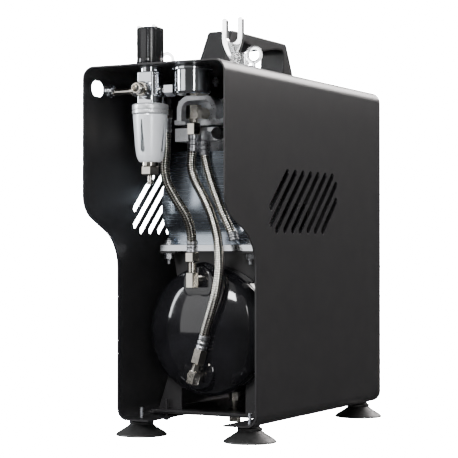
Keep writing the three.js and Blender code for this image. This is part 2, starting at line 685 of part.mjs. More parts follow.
const isolatorPlaces = () => [-1, 1].flatMap((s) => [[s * 46, 109], [s * 46, 286]]);
function isolatorBolt(x, y) {
  return join(
    rod([x, y, PLATE.z0 - 13], [x, y, PLATE.z1 + 7], 2, 8),
    rod([x, y, PLATE.z0 - 8], [x, y, PLATE.z0 - 2 - 2 * GAP], 4.6, 6),
    rod([x, y, PLATE.z1 + GAP], [x, y, PLATE.z1 + 1.6], 5.4, 16),
    rod([x, y, PLATE.z1 + 1.4], [x, y, PLATE.z1 + 4.8], 4.2, 6),
  );
}

// A closed skin over superellipse sections from the bottom up; a row is [z, left, right, half depth, power].
function stacked(rows, inset, sides = 48) {
  const corners = [];
  for (const [z, left, right, depth, power] of rows) {
    const half = (right - left) / 2 - inset;
    for (let i = 0; i < sides; i += 1) {
      const t = (2 * Math.PI * i) / sides;
      const [c, s] = [Math.cos(t), Math.sin(t)];
      corners.push(
        (left + right) / 2 + half * Math.sign(c) * Math.abs(c) ** (2 / power),
        COWL.y + (depth - inset) * Math.sign(s) * Math.abs(s) ** (2 / power),
        z,
      );
    }
  }
  const faces = [];
  const last = (rows.length - 1) * sides;
  for (let i = 0; i < sides; i += 1) {
    const j = (i + 1) % sides;
    for (let base = 0; base < last; base += sides) {
      faces.push(base + i, base + j, base + sides + j, base + i, base + sides + j, base + sides + i);
    }
    if (i > 0 && j > 0) faces.push(0, j, i, last, last + i, last + j);
  }
  const g = new THREE.BufferGeometry();
  g.setAttribute('position', new THREE.BufferAttribute(new Float32Array(corners), 3));
  g.setIndex(faces);
  return solid(g);
}

// A bright shell of sheet round the front of the pump, bulging at its middle and squared at its foot.
function motorCowl() {
  const rows = [
    [169.8, -52.3, 30.3, 21, 8], [180, -53, 30.3, 21.4, 8], [184, -55.5, 30, 22, 6], [189, -60, 28, 24, 4],
    [194, -63, 25.5, 26.5, 2.8], [202, -65.8, 25.8, 28.8, 2.2], [211, -66.8, 28, 29.8, 2.1],
    [220, -66.5, 30, 30, 2], [231, -64.5, 31, 30, 2], [241, -60.8, 31.8, 30, 2], [251, -56, 32.5, 30, 2],
    [262, -54.8, 32.8, 30, 2],
  ];
  const room = rows.map((row) => [...row]);
  room[0][0] -= 1;
  room[rows.length - 1][0] += 1;
  const front = box(-70, 70, PLATE.y0, COWL.y, 160, 270);
  return cut(stacked(rows, 0), stacked(room, COWL.sheet)).intersect(front);
}

// The pump and its motor are drawn about the middle plane and stand a little to the left of it.
const atPump = (body) => body.translate([MOTOR.x, 0, 0]);

function crankcase() {
  const { z, rodY } = MOTOR;
  const body = box(-20, 20, 121.5, 152, 169.8, 255.5);
  const room = rod([0, 126, z], [0, 147.5, z], 17, 28);
  const throat = box(-15, 15, 126, 147.5, z, 260);
  const bearing = rod([0, 140, z], [0, 156, z], 5.4, 20);
  const neck = rod([0, rodY, 240], [0, rodY, 260], 17, 32).intersect(box(-17, 17, 126, 147.5, 240, 260));
  return cut(body, room, throat, bearing, neck);
}

function cylinderBarrel() {
  return cut(
    rod([0, MOTOR.rodY, 255.8], [0, MOTOR.rodY, 271.7], 25, 32),
    rod([0, MOTOR.rodY, 250], [0, MOTOR.rodY, 275], 17.5, 32),
  );
}

function valvePlate() {
  return join(
    box(-HEAD.x, HEAD.x, 105.5, HEAD.y1, 272, 284.9),
    rod([-1, 107, 278], [-1, 101.2, 278], 3.4, 12),
    rod([-1, 101.2, 281], [-1, 101.2, 271.9], 3.6, 12),
  );
}

// The arch of the hood over the outlet elbow, drawn in from its outer face by an inset.
function hoodArch(inset, base) {
  const [w, r] = [HOOD.halfWidth - inset, HOOD.crown - inset];
  const spring = HOOD.top - HOOD.crown;
  const s = new THREE.Shape();
  s.moveTo(HOOD.x - w, base);
  s.lineTo(HOOD.x + w, base);
  s.lineTo(HOOD.x + w, spring);
  s.absarc(HOOD.x + w - r, spring, r, 0, Math.PI / 2);
  s.lineTo(HOOD.x - w + r, spring + r);
  s.absarc(HOOD.x - w + r, spring, r, Math.PI / 2, Math.PI);
  return s;
}

function cylinderHead() {
  const { x, y0, y1, z0, z1 } = HEAD;
  let head = join(
    box(-x, x, y0, y1, z0, z1),
    frontPlate(hoodArch(0, z0 + 3), HOOD.y0, y0 + 4),
    box(-x, x, y0 - 8, y0 + 1, z0, z0 + 4.5),
  );
  head = cut(head, frontPlate(hoodArch(HOOD.wall, z0 - 1), HOOD.y0 - 2, y0 + 8));
  for (let i = 0; i < 4; i += 1) {
    const y = y0 + 18 + i * 7;
    head = cut(head, box(-x - 1, x + 1, y, y + 3.5, z1 - 12, z1 + 1));
  }
  return head;
}

function headElbow() {
  return join(
    rod([-11.5, 119.5, 300], [-11.5, 98, 300], 6, 16),
    rod([-11.5, 98, 306.5], [-11.5, 98, 293], 7.4, 6),
    rod([-11.5, 98, 294], [-11.5, 98, 289.4], 4.6, 14),
  );
}

const intakeSilencer = () => join(
  rod([17.5, 103.6, 278], [17.5, 97, 278], 4, 16),
  rod([17.5, 98, 278], [17.5, 91, 278], 6.5, 20, 5.5),
);

function motorStator() {
  const { z } = MOTOR;
  const core = frontPlate(roundRect(0, z, 80, 80, 10), 158, 212, 3);
  const cap = rod([0, 211.5, z], [0, 222, z], 36, 32, 30);
  const feet = box(-30, 30, 165, 205, PLATE.z1 + GAP, z - 38);
  const bore = rod([0, 150, z], [0, 219, z], 23, 32);
  return cut(join(core, cap, feet), bore, rod([0, 200, z], [0, 230, z], 6.2, 20));
}

function crankshaft() {
  const { z, crankThrow, rodY } = MOTOR;
  return join(
    rod([0, 141, z], [0, 246, z], 5, 20),
    rod([0, 160, z], [0, 208, z], 22, 32),
    rod([0, 140, z], [0, 145, z], 13, 24),
    rod([0, rodY - 4.5, z + crankThrow], [0, 141, z + crankThrow], 4, 16),
  );
}

function coolingFan() {
  const { z } = MOTOR;
  let fan = rod([0, 226, z], [0, 240, z], 11, 24);
  for (let i = 0; i < 7; i += 1) {
    const g = new THREE.BoxGeometry(27, 1.8, 15);
    g.rotateX(THREE.MathUtils.degToRad(38)).translate(23.5, 0, 0);
    g.rotateY((i * 2 * Math.PI) / 7).translate(0, 233, z);
    fan = join(fan, solid(g));
  }
  return cut(fan, rod([0, 220, z], [0, 250, z], 5.15, 20));
}

// The one-piece rocking rod and piston of an oil-free compressor.
function connectingRod() {
  const { z, crankThrow, rodY } = MOTOR;
  const pin = z + crankThrow;
  return cut(
    join(
      rod([0, rodY - 3.5, pin], [0, rodY + 3.5, pin], 9, 24),
      box(-4, 4, rodY - 3, rodY + 3, pin + 6, 265),
      rod([0, rodY, 263], [0, rodY, 270.5], 13.3, 28),
    ),
    rod([0, rodY - 8, pin], [0, rodY + 8, pin], 4.15, 20),
  );
}

const pressureSwitch = () => join(
  box(-20, 20, 254, 290, PLATE.z1 + GAP, 214),
  rod([0, 272, 213], [0, 272, 219], 5, 16),
);

// ---- electrical parts on the back ----
function switchFrame() {
  const [x, z] = [REAR.switchX, REAR.partZ];
  const face = REAR.y1 + GAP;
  return cut(
    join(
      box(x - 9.5, x + 9.5, face, face + 2, z - 12.8, z + 12.8),
      box(x - 7.3, x + 7.3, 340, face + 1, z - 10.5, z + 10.5),
    ),
    box(x - 6.3, x + 6.3, 342, face + 5, z - 9.6, z + 9.6),
  );
}

const ROCKER = { y: 353, tilt: THREE.MathUtils.degToRad(9) };
function powerRocker() {
  const [x, z] = [REAR.switchX, REAR.partZ];
  const s = new THREE.Shape();
  s.moveTo(-8, -4.5);
  s.lineTo(5.5, -8.3);
  s.quadraticCurveTo(4.2, 0, 5.5, 8.3);
  s.lineTo(-8, 4.5);
  const g = new THREE.ExtrudeGeometry(s, { depth: 11.6, bevelEnabled: false, curveSegments: 5 });
  const basis = new THREE.Matrix4().makeBasis(
    new THREE.Vector3(0, 1, 0),
    new THREE.Vector3(0, 0, 1),
    new THREE.Vector3(1, 0, 0),
  );
  g.applyMatrix4(basis).translate(-5.8, 0, 0).rotateX(ROCKER.tilt).translate(x, ROCKER.y, z);
  return solid(g);
}

function powerInlet() {
  const [x, z] = [REAR.inletX, REAR.partZ];
  const face = REAR.y1 + GAP;
  const socket = polygon([
    [x - 12, z - 8], [x + 12, z - 8], [x + 12, z + 4], [x + 8, z + 8], [x - 8, z + 8], [x - 12, z + 4],
  ]);
  let body = join(
    box(x - 16, x + 16, face, face + 2.5, z - 12.5, z + 12.5),
    box(x - 13.6, x + 13.6, 334, face + 1, z - 10.2, z + 10.2),
  );
  body = cut(body, frontPlate(socket, face - 14, face + 5));
  for (const [px, pz] of [[-7, -1], [7, -1], [0, 2.5]]) {
    body = join(body, box(x + px - 1, x + px + 1, face - 15, face - 6, z + pz - 2, z + pz + 2));
  }
  return body;
}

// ---- assembly ----
const corner = (x, y) => `${y < CASE.depth / 2 ? 'front' : 'rear'}_${x < 0 ? 'left' : 'right'}`;

add('case_wrap', caseWrap(), MAT.caseBlack);
add('base_plate', basePlate(), MAT.caseBlack);
add('rear_panel', rearPanel(), MAT.caseBlack);
for (const [x, y] of footPlaces()) {
  add(`foot_${corner(x, y)}`, foot(x, y), MAT.rubber);
}
add('carry_handle', handleBody(), MAT.plasticBlack);
add('handle_bolt_front', handleBolt(HANDLE.bolts[0]), MAT.steel);
add('handle_bolt_rear', handleBolt(HANDLE.bolts[1]), MAT.steel);
add('regulator_body', regulatorBody(), MAT.chrome);
add('lock_ring', lockRing(), MAT.plasticBlack);
add('adjusting_screw', adjustingScrew(), MAT.steel);
add('pressure_knob', pressureKnob(), MAT.plasticBlack);
add('front_outlet', frontOutlet(), MAT.nickel);
add('side_outlet', sideOutlet(), MAT.nickel);
add('side_coupler', sideCoupler(), MAT.chrome);
add('bowl_collar', bowlCollar(), MAT.aluminium);
add('bowl_guard', bowlGuard(), MAT.bowl);
add('filter_bowl', filterBowl(), MAT.clear);
add('filter_element', filterElement(), MAT.dial);
add('drain_body', drainBody(), MAT.nickel);
add('drain_stem', drainStem(), MAT.nickel);
add('gauge_case', gaugeCase(), MAT.chrome);
add('gauge_dial', gaugeDial(), MAT.dial);
add('gauge_needle', gaugeNeedle(), MAT.needle);
add('gauge_lens', gaugeLens(), MAT.clear);
add('gauge_nut', gaugeNut(), MAT.chrome);
add('airbrush_holder_left', airbrushHolder(-1), MAT.clear);
add('airbrush_holder_right', airbrushHolder(1), MAT.clear);
add('air_tank', tankShell(), MAT.enamel);
add('tank_saddle_front', saddle(SADDLE.front, SADDLE.front - SADDLE.flange), MAT.caseBlack);
add('tank_saddle_rear', saddle(SADDLE.rear, SADDLE.rear + SADDLE.flange), MAT.caseBlack);
add('upper_frame', upperFrame(), MAT.caseBlack);
add('tank_elbow_top', tankElbowTop(), MAT.nickel);
add('tank_elbow_lower', tankElbowLower(), MAT.nickel);
add('tank_drain_cock', drainCock(), MAT.nickel);
add('hose_outlet', hoseOutlet(), MAT.steel);
add('hose_feed', hoseFeed(), MAT.steel);
add('hose_unloader', hoseUnloader(), MAT.steel);
add('machine_plate', machinePlate(), MAT.chrome);
for (const [x, y] of isolatorPlaces()) {
  add(`isolator_bolt_${corner(x, y)}`, isolatorBolt(x, y), MAT.steel);
}
add('motor_cowl', motorCowl(), MAT.steel);
add('crankcase', atPump(crankcase()), MAT.aluminium);
add('cylinder_barrel', atPump(cylinderBarrel()), MAT.aluminium);
add('valve_plate', valvePlate(), MAT.aluminium);
add('cylinder_head', cylinderHead(), MAT.aluminium);
add('head_elbow', headElbow(), MAT.nickel);
add('intake_silencer', intakeSilencer(), MAT.plasticBlack);
add('motor_stator', atPump(motorStator()), MAT.steel);
add('crankshaft', atPump(crankshaft()), MAT.steel);
add('cooling_fan', atPump(coolingFan()), MAT.plasticBlack);
add('connecting_rod', atPump(connectingRod()), MAT.aluminium);
add('pressure_switch', pressureSwitch(), MAT.plasticBlack);
add('switch_frame', switchFrame(), MAT.plasticBlack);
add('power_rocker', powerRocker(), MAT.plasticBlack);
add('power_inlet', powerInlet(), MAT.plasticBlack);

// The origin is under the middle of the whole machine, on the surface that it stands on.
const limits = new THREE.Box3().setFromObject(machine);
machine.position.set(0, -(limits.min.y + limits.max.y) / 2, -limits.min.z);
const assembly = new THREE.Group();
assembly.add(machine);

export default assembly;
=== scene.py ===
"""Airbrush compressor: the looks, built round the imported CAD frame."""

import math

import bpy
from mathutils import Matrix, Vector


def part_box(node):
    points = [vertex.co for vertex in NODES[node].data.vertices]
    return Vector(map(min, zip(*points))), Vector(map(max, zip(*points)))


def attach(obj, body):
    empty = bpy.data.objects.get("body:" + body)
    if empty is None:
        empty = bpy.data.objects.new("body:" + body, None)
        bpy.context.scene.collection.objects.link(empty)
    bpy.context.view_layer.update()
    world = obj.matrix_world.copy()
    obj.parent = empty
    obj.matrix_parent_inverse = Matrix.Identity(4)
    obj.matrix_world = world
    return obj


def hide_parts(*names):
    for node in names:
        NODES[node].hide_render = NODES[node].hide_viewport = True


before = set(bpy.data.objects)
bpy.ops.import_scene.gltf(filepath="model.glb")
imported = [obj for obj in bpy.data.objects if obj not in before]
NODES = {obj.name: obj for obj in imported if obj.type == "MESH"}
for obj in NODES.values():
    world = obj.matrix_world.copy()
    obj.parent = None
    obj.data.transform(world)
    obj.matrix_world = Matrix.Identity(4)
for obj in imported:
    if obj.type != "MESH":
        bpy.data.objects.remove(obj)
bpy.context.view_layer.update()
MM = 0.001
CASE_LO, CASE_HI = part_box("case_wrap")

# The part's own units: millimetres, y from the front edge of the case, z from its underside.
WIDTH, DEPTH, HEIGHT = ((CASE_HI - CASE_LO) / MM)[:]
X, Y, Z = Vector((1, 0, 0)), Vector((0, 1, 0)), Vector((0, 0, 1))


def at(x, y, z):
    """A place in the part's own millimetres as a point of the frame, in metres."""
    return Vector((x * MM, CASE_LO.y + y * MM, CASE_LO.z + z * MM))


def span(node):
    """A node's lowest and highest corner in the part's own millimetres."""
    shift = Vector((0, CASE_LO.y, CASE_LO.z))
    return [(corner - shift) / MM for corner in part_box(node)]


def middle(node):
    low, high = span(node)
    return (low + high) / 2


# ---------------------------------------------------------------- camera, floor and lights
CAMERA_PLACE = (737.0, -1215.3, 165.1)
CAMERA_TURN = 28.37
CAMERA_RISE = 0.76
FOCAL_LENGTH = 121.3
BACKDROP, BEHIND_CLEAR = 40.0, 8.0
SKY_LOW, SKY_HIGH = 0.06, 0.7


def make_camera():
    data = bpy.data.cameras.new("camera")
    data.lens = FOCAL_LENGTH
    data.sensor_width = 36
    data.clip_end = 50
    camera = bpy.data.objects.new("camera", data)
    camera.location = at(*CAMERA_PLACE)
    camera.rotation_euler = (math.radians(90 + CAMERA_RISE), 0, math.radians(CAMERA_TURN))
    bpy.context.scene.collection.objects.link(camera)
    bpy.context.scene.camera = camera


def area_light(name, place, target, size, power, color=(1, 1, 1)):
    data = bpy.data.lights.new(name, "AREA")
    data.shape = "RECTANGLE"
    data.size, data.size_y = size
    data.energy = power
    data.color = color
    light = bpy.data.objects.new(name, data)
    light.location = place
    light.rotation_euler = (Vector(target) - Vector(place)).to_track_quat("-Z", "Y").to_euler()
    light.visible_camera = False
    bpy.context.scene.collection.objects.link(light)


def layered(tree, kind, base, layers, output):
    """Lets a plain glow take over from the base shader for each (kind of ray, strength) in layers."""
    path = tree.nodes.new("ShaderNodeLightPath")
    for ray, strength in layers:
        glow = tree.nodes.new(kind)
        glow.inputs["Strength"].default_value = strength
        mix = tree.nodes.new("ShaderNodeMixShader")
        tree.links.new(path.outputs[ray], mix.inputs[0])
        tree.links.new(base, mix.inputs[1])
        tree.links.new(glow.outputs[0], mix.inputs[2])
        base = mix.outputs["Shader"]
    tree.links.new(base, output.inputs["Surface"])


def make_studio():
    world = bpy.data.worlds.new("studio")
    bpy.context.scene.world = world
    world.use_nodes = True
    tree = world.node_tree
    dim = tree.nodes["Background"]
    direction = tree.nodes.new("ShaderNodeTexCoord")
    split = tree.nodes.new("ShaderNodeSeparateXYZ")
    tree.links.new(direction.outputs["Generated"], split.inputs["Vector"])
    rise = tree.nodes.new("ShaderNodeMapRange")
    for key, value in {"From Min": 0.0, "From Max": 1.0, "To Min": SKY_LOW, "To Max": SKY_HIGH}.items():
        rise.inputs[key].default_value = value
    tree.links.new(split.outputs["Z"], rise.inputs["Value"])
    tree.links.new(rise.outputs["Result"], dim.inputs["Strength"])
    dim.inputs["Color"].default_value = (1, 1, 1, 1)
    seen_through = [("Is Transmission Ray", BEHIND_CLEAR), ("Is Camera Ray", BACKDROP)]
    layered(tree, "ShaderNodeBackground", dim.outputs["Background"], seen_through, tree.nodes["World Output"])
    area_light("front_box", (0.2, -1.55, 1.2), (0, -0.05, 0.15), (0.5, 0.36), 26)
    area_light("left_box", (-1.25, -0.72, 0.7), (0, -0.1, 0.25), (0.3, 0.9), 16, (0.94, 0.97, 1))
    area_light("soft_fill", (-0.8, -1.45, 0.35), (0, 0, 0.22), (0.8, 1.2), 4.5)
    area_light("right_strip", (1.25, -1.6, 0.55), (0, -0.1, 0.25), (0.16, 1.2), 9)
    area_light("back_box", (1.0, 2.5, 1.95), (0.05, 0, 0.3), (2.6, 1.3), 165, (1, 0.955, 0.94))
    floor = Build()
    floor.add([(-6, -6, 0), (6, -6, 0), (6, 6, 0), (-6, 6, 0)], [(0, 1, 2, 3)])
    paper = surface("floor", (0.8, 0.8, 0.8), roughness=0.7)
    tree = paper.node_tree
    layered(tree, "ShaderNodeEmission", tree.nodes["Principled BSDF"].outputs["BSDF"],
            [("Is Glossy Ray", SKY_LOW), *seen_through], tree.nodes["Material Output"])
    floor.object("floor", [paper])


# ---------------------------------------------------------------- materials
def surface(name, color, metallic=0.0, roughness=0.5, **more):
    """A new Principled material; extra inputs are given by their names with underscores."""
    material = bpy.data.materials.new(name)
    material.use_nodes = True
    shader = material.node_tree.nodes["Principled BSDF"]
    shader.inputs["Base Color"].default_value = (*color, 1)
    shader.inputs["Metallic"].default_value = metallic
    shader.inputs["Roughness"].default_value = roughness
    for key, value in more.items():
        shader.inputs[key.replace("_", " ").title().replace("Ior", "IOR")].default_value = value
    return material


def coordinates(material, scale, source="Object"):
    """Texture coordinates scaled along each axis; the units are metres unless the source is UV."""
    tree = material.node_tree
    place = tree.nodes.new("ShaderNodeTexCoord")
    mapping = tree.nodes.new("ShaderNodeMapping")
    mapping.inputs["Scale"].default_value = scale
    tree.links.new(place.outputs[source], mapping.inputs["Vector"])
    return mapping.outputs["Vector"]


def noise(material, scale, detail=3.0, stretch=(1, 1, 1)):
    tree = material.node_tree
    texture = tree.nodes.new("ShaderNodeTexNoise")
    texture.inputs["Scale"].default_value = scale
    texture.inputs["Detail"].default_value = detail
    tree.links.new(coordinates(material, stretch), texture.inputs["Vector"])
    return texture.outputs["Fac"]


def spread(material, value, low, high):
    """Maps the useful middle of a noise onto a range."""
    tree = material.node_tree
    node = tree.nodes.new("ShaderNodeMapRange")
    node.inputs["From Min"].default_value = 0.3
    node.inputs["From Max"].default_value = 0.7
    node.inputs["To Min"].default_value = low
    node.inputs["To Max"].default_value = high
    tree.links.new(value, node.inputs["Value"])
    return node.outputs["Result"]


def vary_roughness(material, value, low, high):
    shader = material.node_tree.nodes["Principled BSDF"]
    material.node_tree.links.new(spread(material, value, low, high), shader.inputs["Roughness"])


def vary_color(material, value, dark, light):
    tree = material.node_tree
    mix = tree.nodes.new("ShaderNodeMix")
    mix.data_type = "RGBA"
    mix.inputs[6].default_value = (*dark, 1)
    mix.inputs[7].default_value = (*light, 1)
    tree.links.new(spread(material, value, 0, 1), mix.inputs[0])
    tree.links.new(mix.outputs[2], tree.nodes["Principled BSDF"].inputs["Base Color"])


def add_bump(material, value, height, strength=1.0):
    """Bump from a value; height is in millimetres."""
    tree = material.node_tree
    bump = tree.nodes.new("ShaderNodeBump")
    bump.inputs["Strength"].default_value = strength
    bump.inputs["Distance"].default_value = height * MM
    tree.links.new(value, bump.inputs["Height"])
    shader = tree.nodes["Principled BSDF"]
    if shader.inputs["Normal"].is_linked:
        tree.links.new(shader.inputs["Normal"].links[0].from_socket, bump.inputs["Normal"])
    tree.links.new(bump.outputs["Normal"], shader.inputs["Normal"])


def powder_coat():
    m = surface("powder_coat", (0.016, 0.0155, 0.0165), roughness=0.4, specular_ior_level=0.55)
    vary_color(m, noise(m, 60), (0.0145, 0.014, 0.0155), (0.018, 0.0175, 0.0185))
    vary_roughness(m, noise(m, 900, 2), 0.33, 0.4)
    add_bump(m, noise(m, 1500, 2), 0.035, 0.5)
    return m


def moulded_plastic(name, color, low, high, grain):
    m = surface(name, color, roughness=(low + high) / 2)
    vary_color(m, noise(m, 80), color, tuple(c * 1.35 for c in color))
    vary_roughness(m, noise(m, 500, 3), low, high)
    add_bump(m, noise(m, 1800, 3), grain, 0.6)
    return m


def rubber():
    m = surface("soft_rubber", (0.012, 0.012, 0.012), roughness=0.5)
    vary_color(m, noise(m, 150), (0.009, 0.009, 0.009), (0.016, 0.016, 0.016))
    vary_roughness(m, noise(m, 400, 4), 0.38, 0.6)
    add_bump(m, noise(m, 900, 4), 0.03, 0.6)
    return m


def polished(name, color, low, high, bump=0.004):
    m = surface(name, color, metallic=1, roughness=(low + high) / 2)
    vary_color(m, noise(m, 120, 4), tuple(c * 0.93 for c in color), color)
    vary_roughness(m, noise(m, 300, 5), low, high)
    add_bump(m, noise(m, 60, 1), bump, 0.2)
    return m


def brushed(name, color, stretch, low=0.22, high=0.42):
    m = surface(name, color, metallic=1, roughness=(low + high) / 2)
    lines = noise(m, 1, 4, stretch)
    vary_color(m, lines, tuple(c * 0.85 for c in color), color)
    vary_roughness(m, lines, low, high)
    add_bump(m, lines, 0.004, 0.3)
    return m


def cast_metal():
    m = surface("cast_aluminium", (0.88, 0.9, 0.93), metallic=0.8, roughness=0.35)
    vary_color(m, noise(m, 200, 4), (0.8, 0.82, 0.85), (0.93, 0.95, 0.98))
    vary_roughness(m, noise(m, 700, 4), 0.26, 0.42)
    add_bump(m, noise(m, 1100, 4), 0.02, 0.4)
    return m


def enamel():
    m = surface("tank_enamel", (0.006, 0.006, 0.007), roughness=0.08, coat_weight=0.5)
    m.node_tree.nodes["Principled BSDF"].inputs["Coat Roughness"].default_value = 0.03
    vary_color(m, noise(m, 40), (0.005, 0.005, 0.006), (0.009, 0.009, 0.011))
    vary_roughness(m, noise(m, 90, 3), 0.05, 0.13)
    add_bump(m, noise(m, 70, 1), 0.01, 0.2)
    return m


def clear_acrylic():
    m = surface("clear_acrylic", (0.97, 0.98, 0.99), roughness=0.05)
    shader = m.node_tree.nodes["Principled BSDF"]
    shader.inputs["Transmission Weight"].default_value = 0.96
    shader.inputs["IOR"].default_value = 1.49
    vary_roughness(m, noise(m, 200, 3), 0.03, 0.12)
    add_bump(m, noise(m, 120, 2), 0.05, 0.3)
    return m


def clear_bowl():
    m = surface("clear_bowl", (0.9, 0.93, 0.95), roughness=0.08)
    shader = m.node_tree.nodes["Principled BSDF"]
    shader.inputs["Transmission Weight"].default_value = 0.9
    shader.inputs["IOR"].default_value = 1.5
    vary_roughness(m, noise(m, 250, 3), 0.05, 0.14)
    add_bump(m, noise(m, 150, 2), 0.03, 0.3)
    return m


def frosted_guard():
    m = surface("silver_guard", (0.8, 0.83, 0.87), metallic=0.3, roughness=0.3)
    vary_color(m, noise(m, 30, 2), (0.79, 0.82, 0.86), (0.83, 0.86, 0.9))
    vary_roughness(m, noise(m, 120, 2), 0.27, 0.33)
    add_bump(m, noise(m, 120, 1), 0.002, 0.1)
    return m


def printed(name, color):
    m = surface(name, color, roughness=0.55)
    vary_color(m, noise(m, 400, 3), tuple(c * 0.94 for c in color), color)
    vary_roughness(m, noise(m, 900, 2), 0.45, 0.62)
    add_bump(m, noise(m, 2500, 2), 0.01, 0.4)
    return m


def braid_wire_painted_shade():
    m = surface("braid_wire_painted_shade", (0.66, 0.64, 0.6), metallic=1, roughness=0.3)
    tree = m.node_tree
    # A per-vertex attribute darkens the wire's colour in the braid's gaps and at its band edges: painted
    # shade.
    braid_painted_shade = tree.nodes.new("ShaderNodeAttribute")
    braid_painted_shade.attribute_name = "braid_painted_shade"
    mix = tree.nodes.new("ShaderNodeMix")
    mix.data_type = "RGBA"
    mix.inputs[6].default_value = (0.03, 0.028, 0.026, 1)
    mix.inputs[7].default_value = (0.82, 0.79, 0.72, 1)
    tree.links.new(braid_painted_shade.outputs["Fac"], mix.inputs[0])
    tree.links.new(mix.outputs[2], tree.nodes["Principled BSDF"].inputs["Base Color"])
    vary_roughness(m, noise(m, 2000, 2), 0.2, 0.36)
    add_bump(m, noise(m, 2600, 1), 0.03, 0.5)
    return m


# ---------------------------------------------------------------- mesh building
def fillet(points, radius, closed, steps=3):
    """The corners of an outline rounded; points are (a, b) pairs."""
    if radius <= 0:
        return list(points)
    count = len(points)
    out = []
    for i, corner in enumerate(points):
        if not closed and i in (0, count - 1):
            out.append(corner)
            continue
        here = Vector(corner)
        before, after = Vector(points[i - 1]) - here, Vector(points[(i + 1) % count]) - here
        if before.length < 1e-6 or after.length < 1e-6:
            out.append(corner)
            continue
        angle = before.angle(after)
        if angle > math.radians(170):
            out.append(corner)
            continue
        back = min(radius / math.tan(angle / 2), before.length * 0.45, after.length * 0.45)
        start, end = here + before.normalized() * back, here + after.normalized() * back
        for k in range(steps + 1):
            t = k / steps
            p = start * (1 - t) ** 2 + here * 2 * t * (1 - t) + end * t ** 2
            out.append((p.x, p.y))
    return out


def arc(cx, cy, radius, start, end, steps):
    """Points on an arc, with its angles in degrees."""
    turns = [math.radians(start + (end - start) * i / steps) for i in range(steps + 1)]
    return [(cx + radius * math.cos(t), cy + radius * math.sin(t)) for t in turns]


def between(a, b, c, d, t):
    """The Catmull-Rom value part-way from b to c, with a before them and d after them."""
    return 0.5 * (2 * b + (c - a) * t + (2 * a - 5 * b + 4 * c - d) * t ** 2
                  + (3 * b - a - 3 * c + d) * t ** 3)


def smooth_route(points, per_span):
    """A smooth curve through given points."""
    knots = [Vector(p) for p in points]
    knots = [2 * knots[0] - knots[1], *knots, 2 * knots[-1] - knots[-2]]
    out = []
    for i in range(1, len(knots) - 2):
        a, b, c, d = knots[i - 1:i + 3]
        out += [between(a, b, c, d, k / per_span) for k in range(per_span)]
    out.append(knots[-2])
    return out


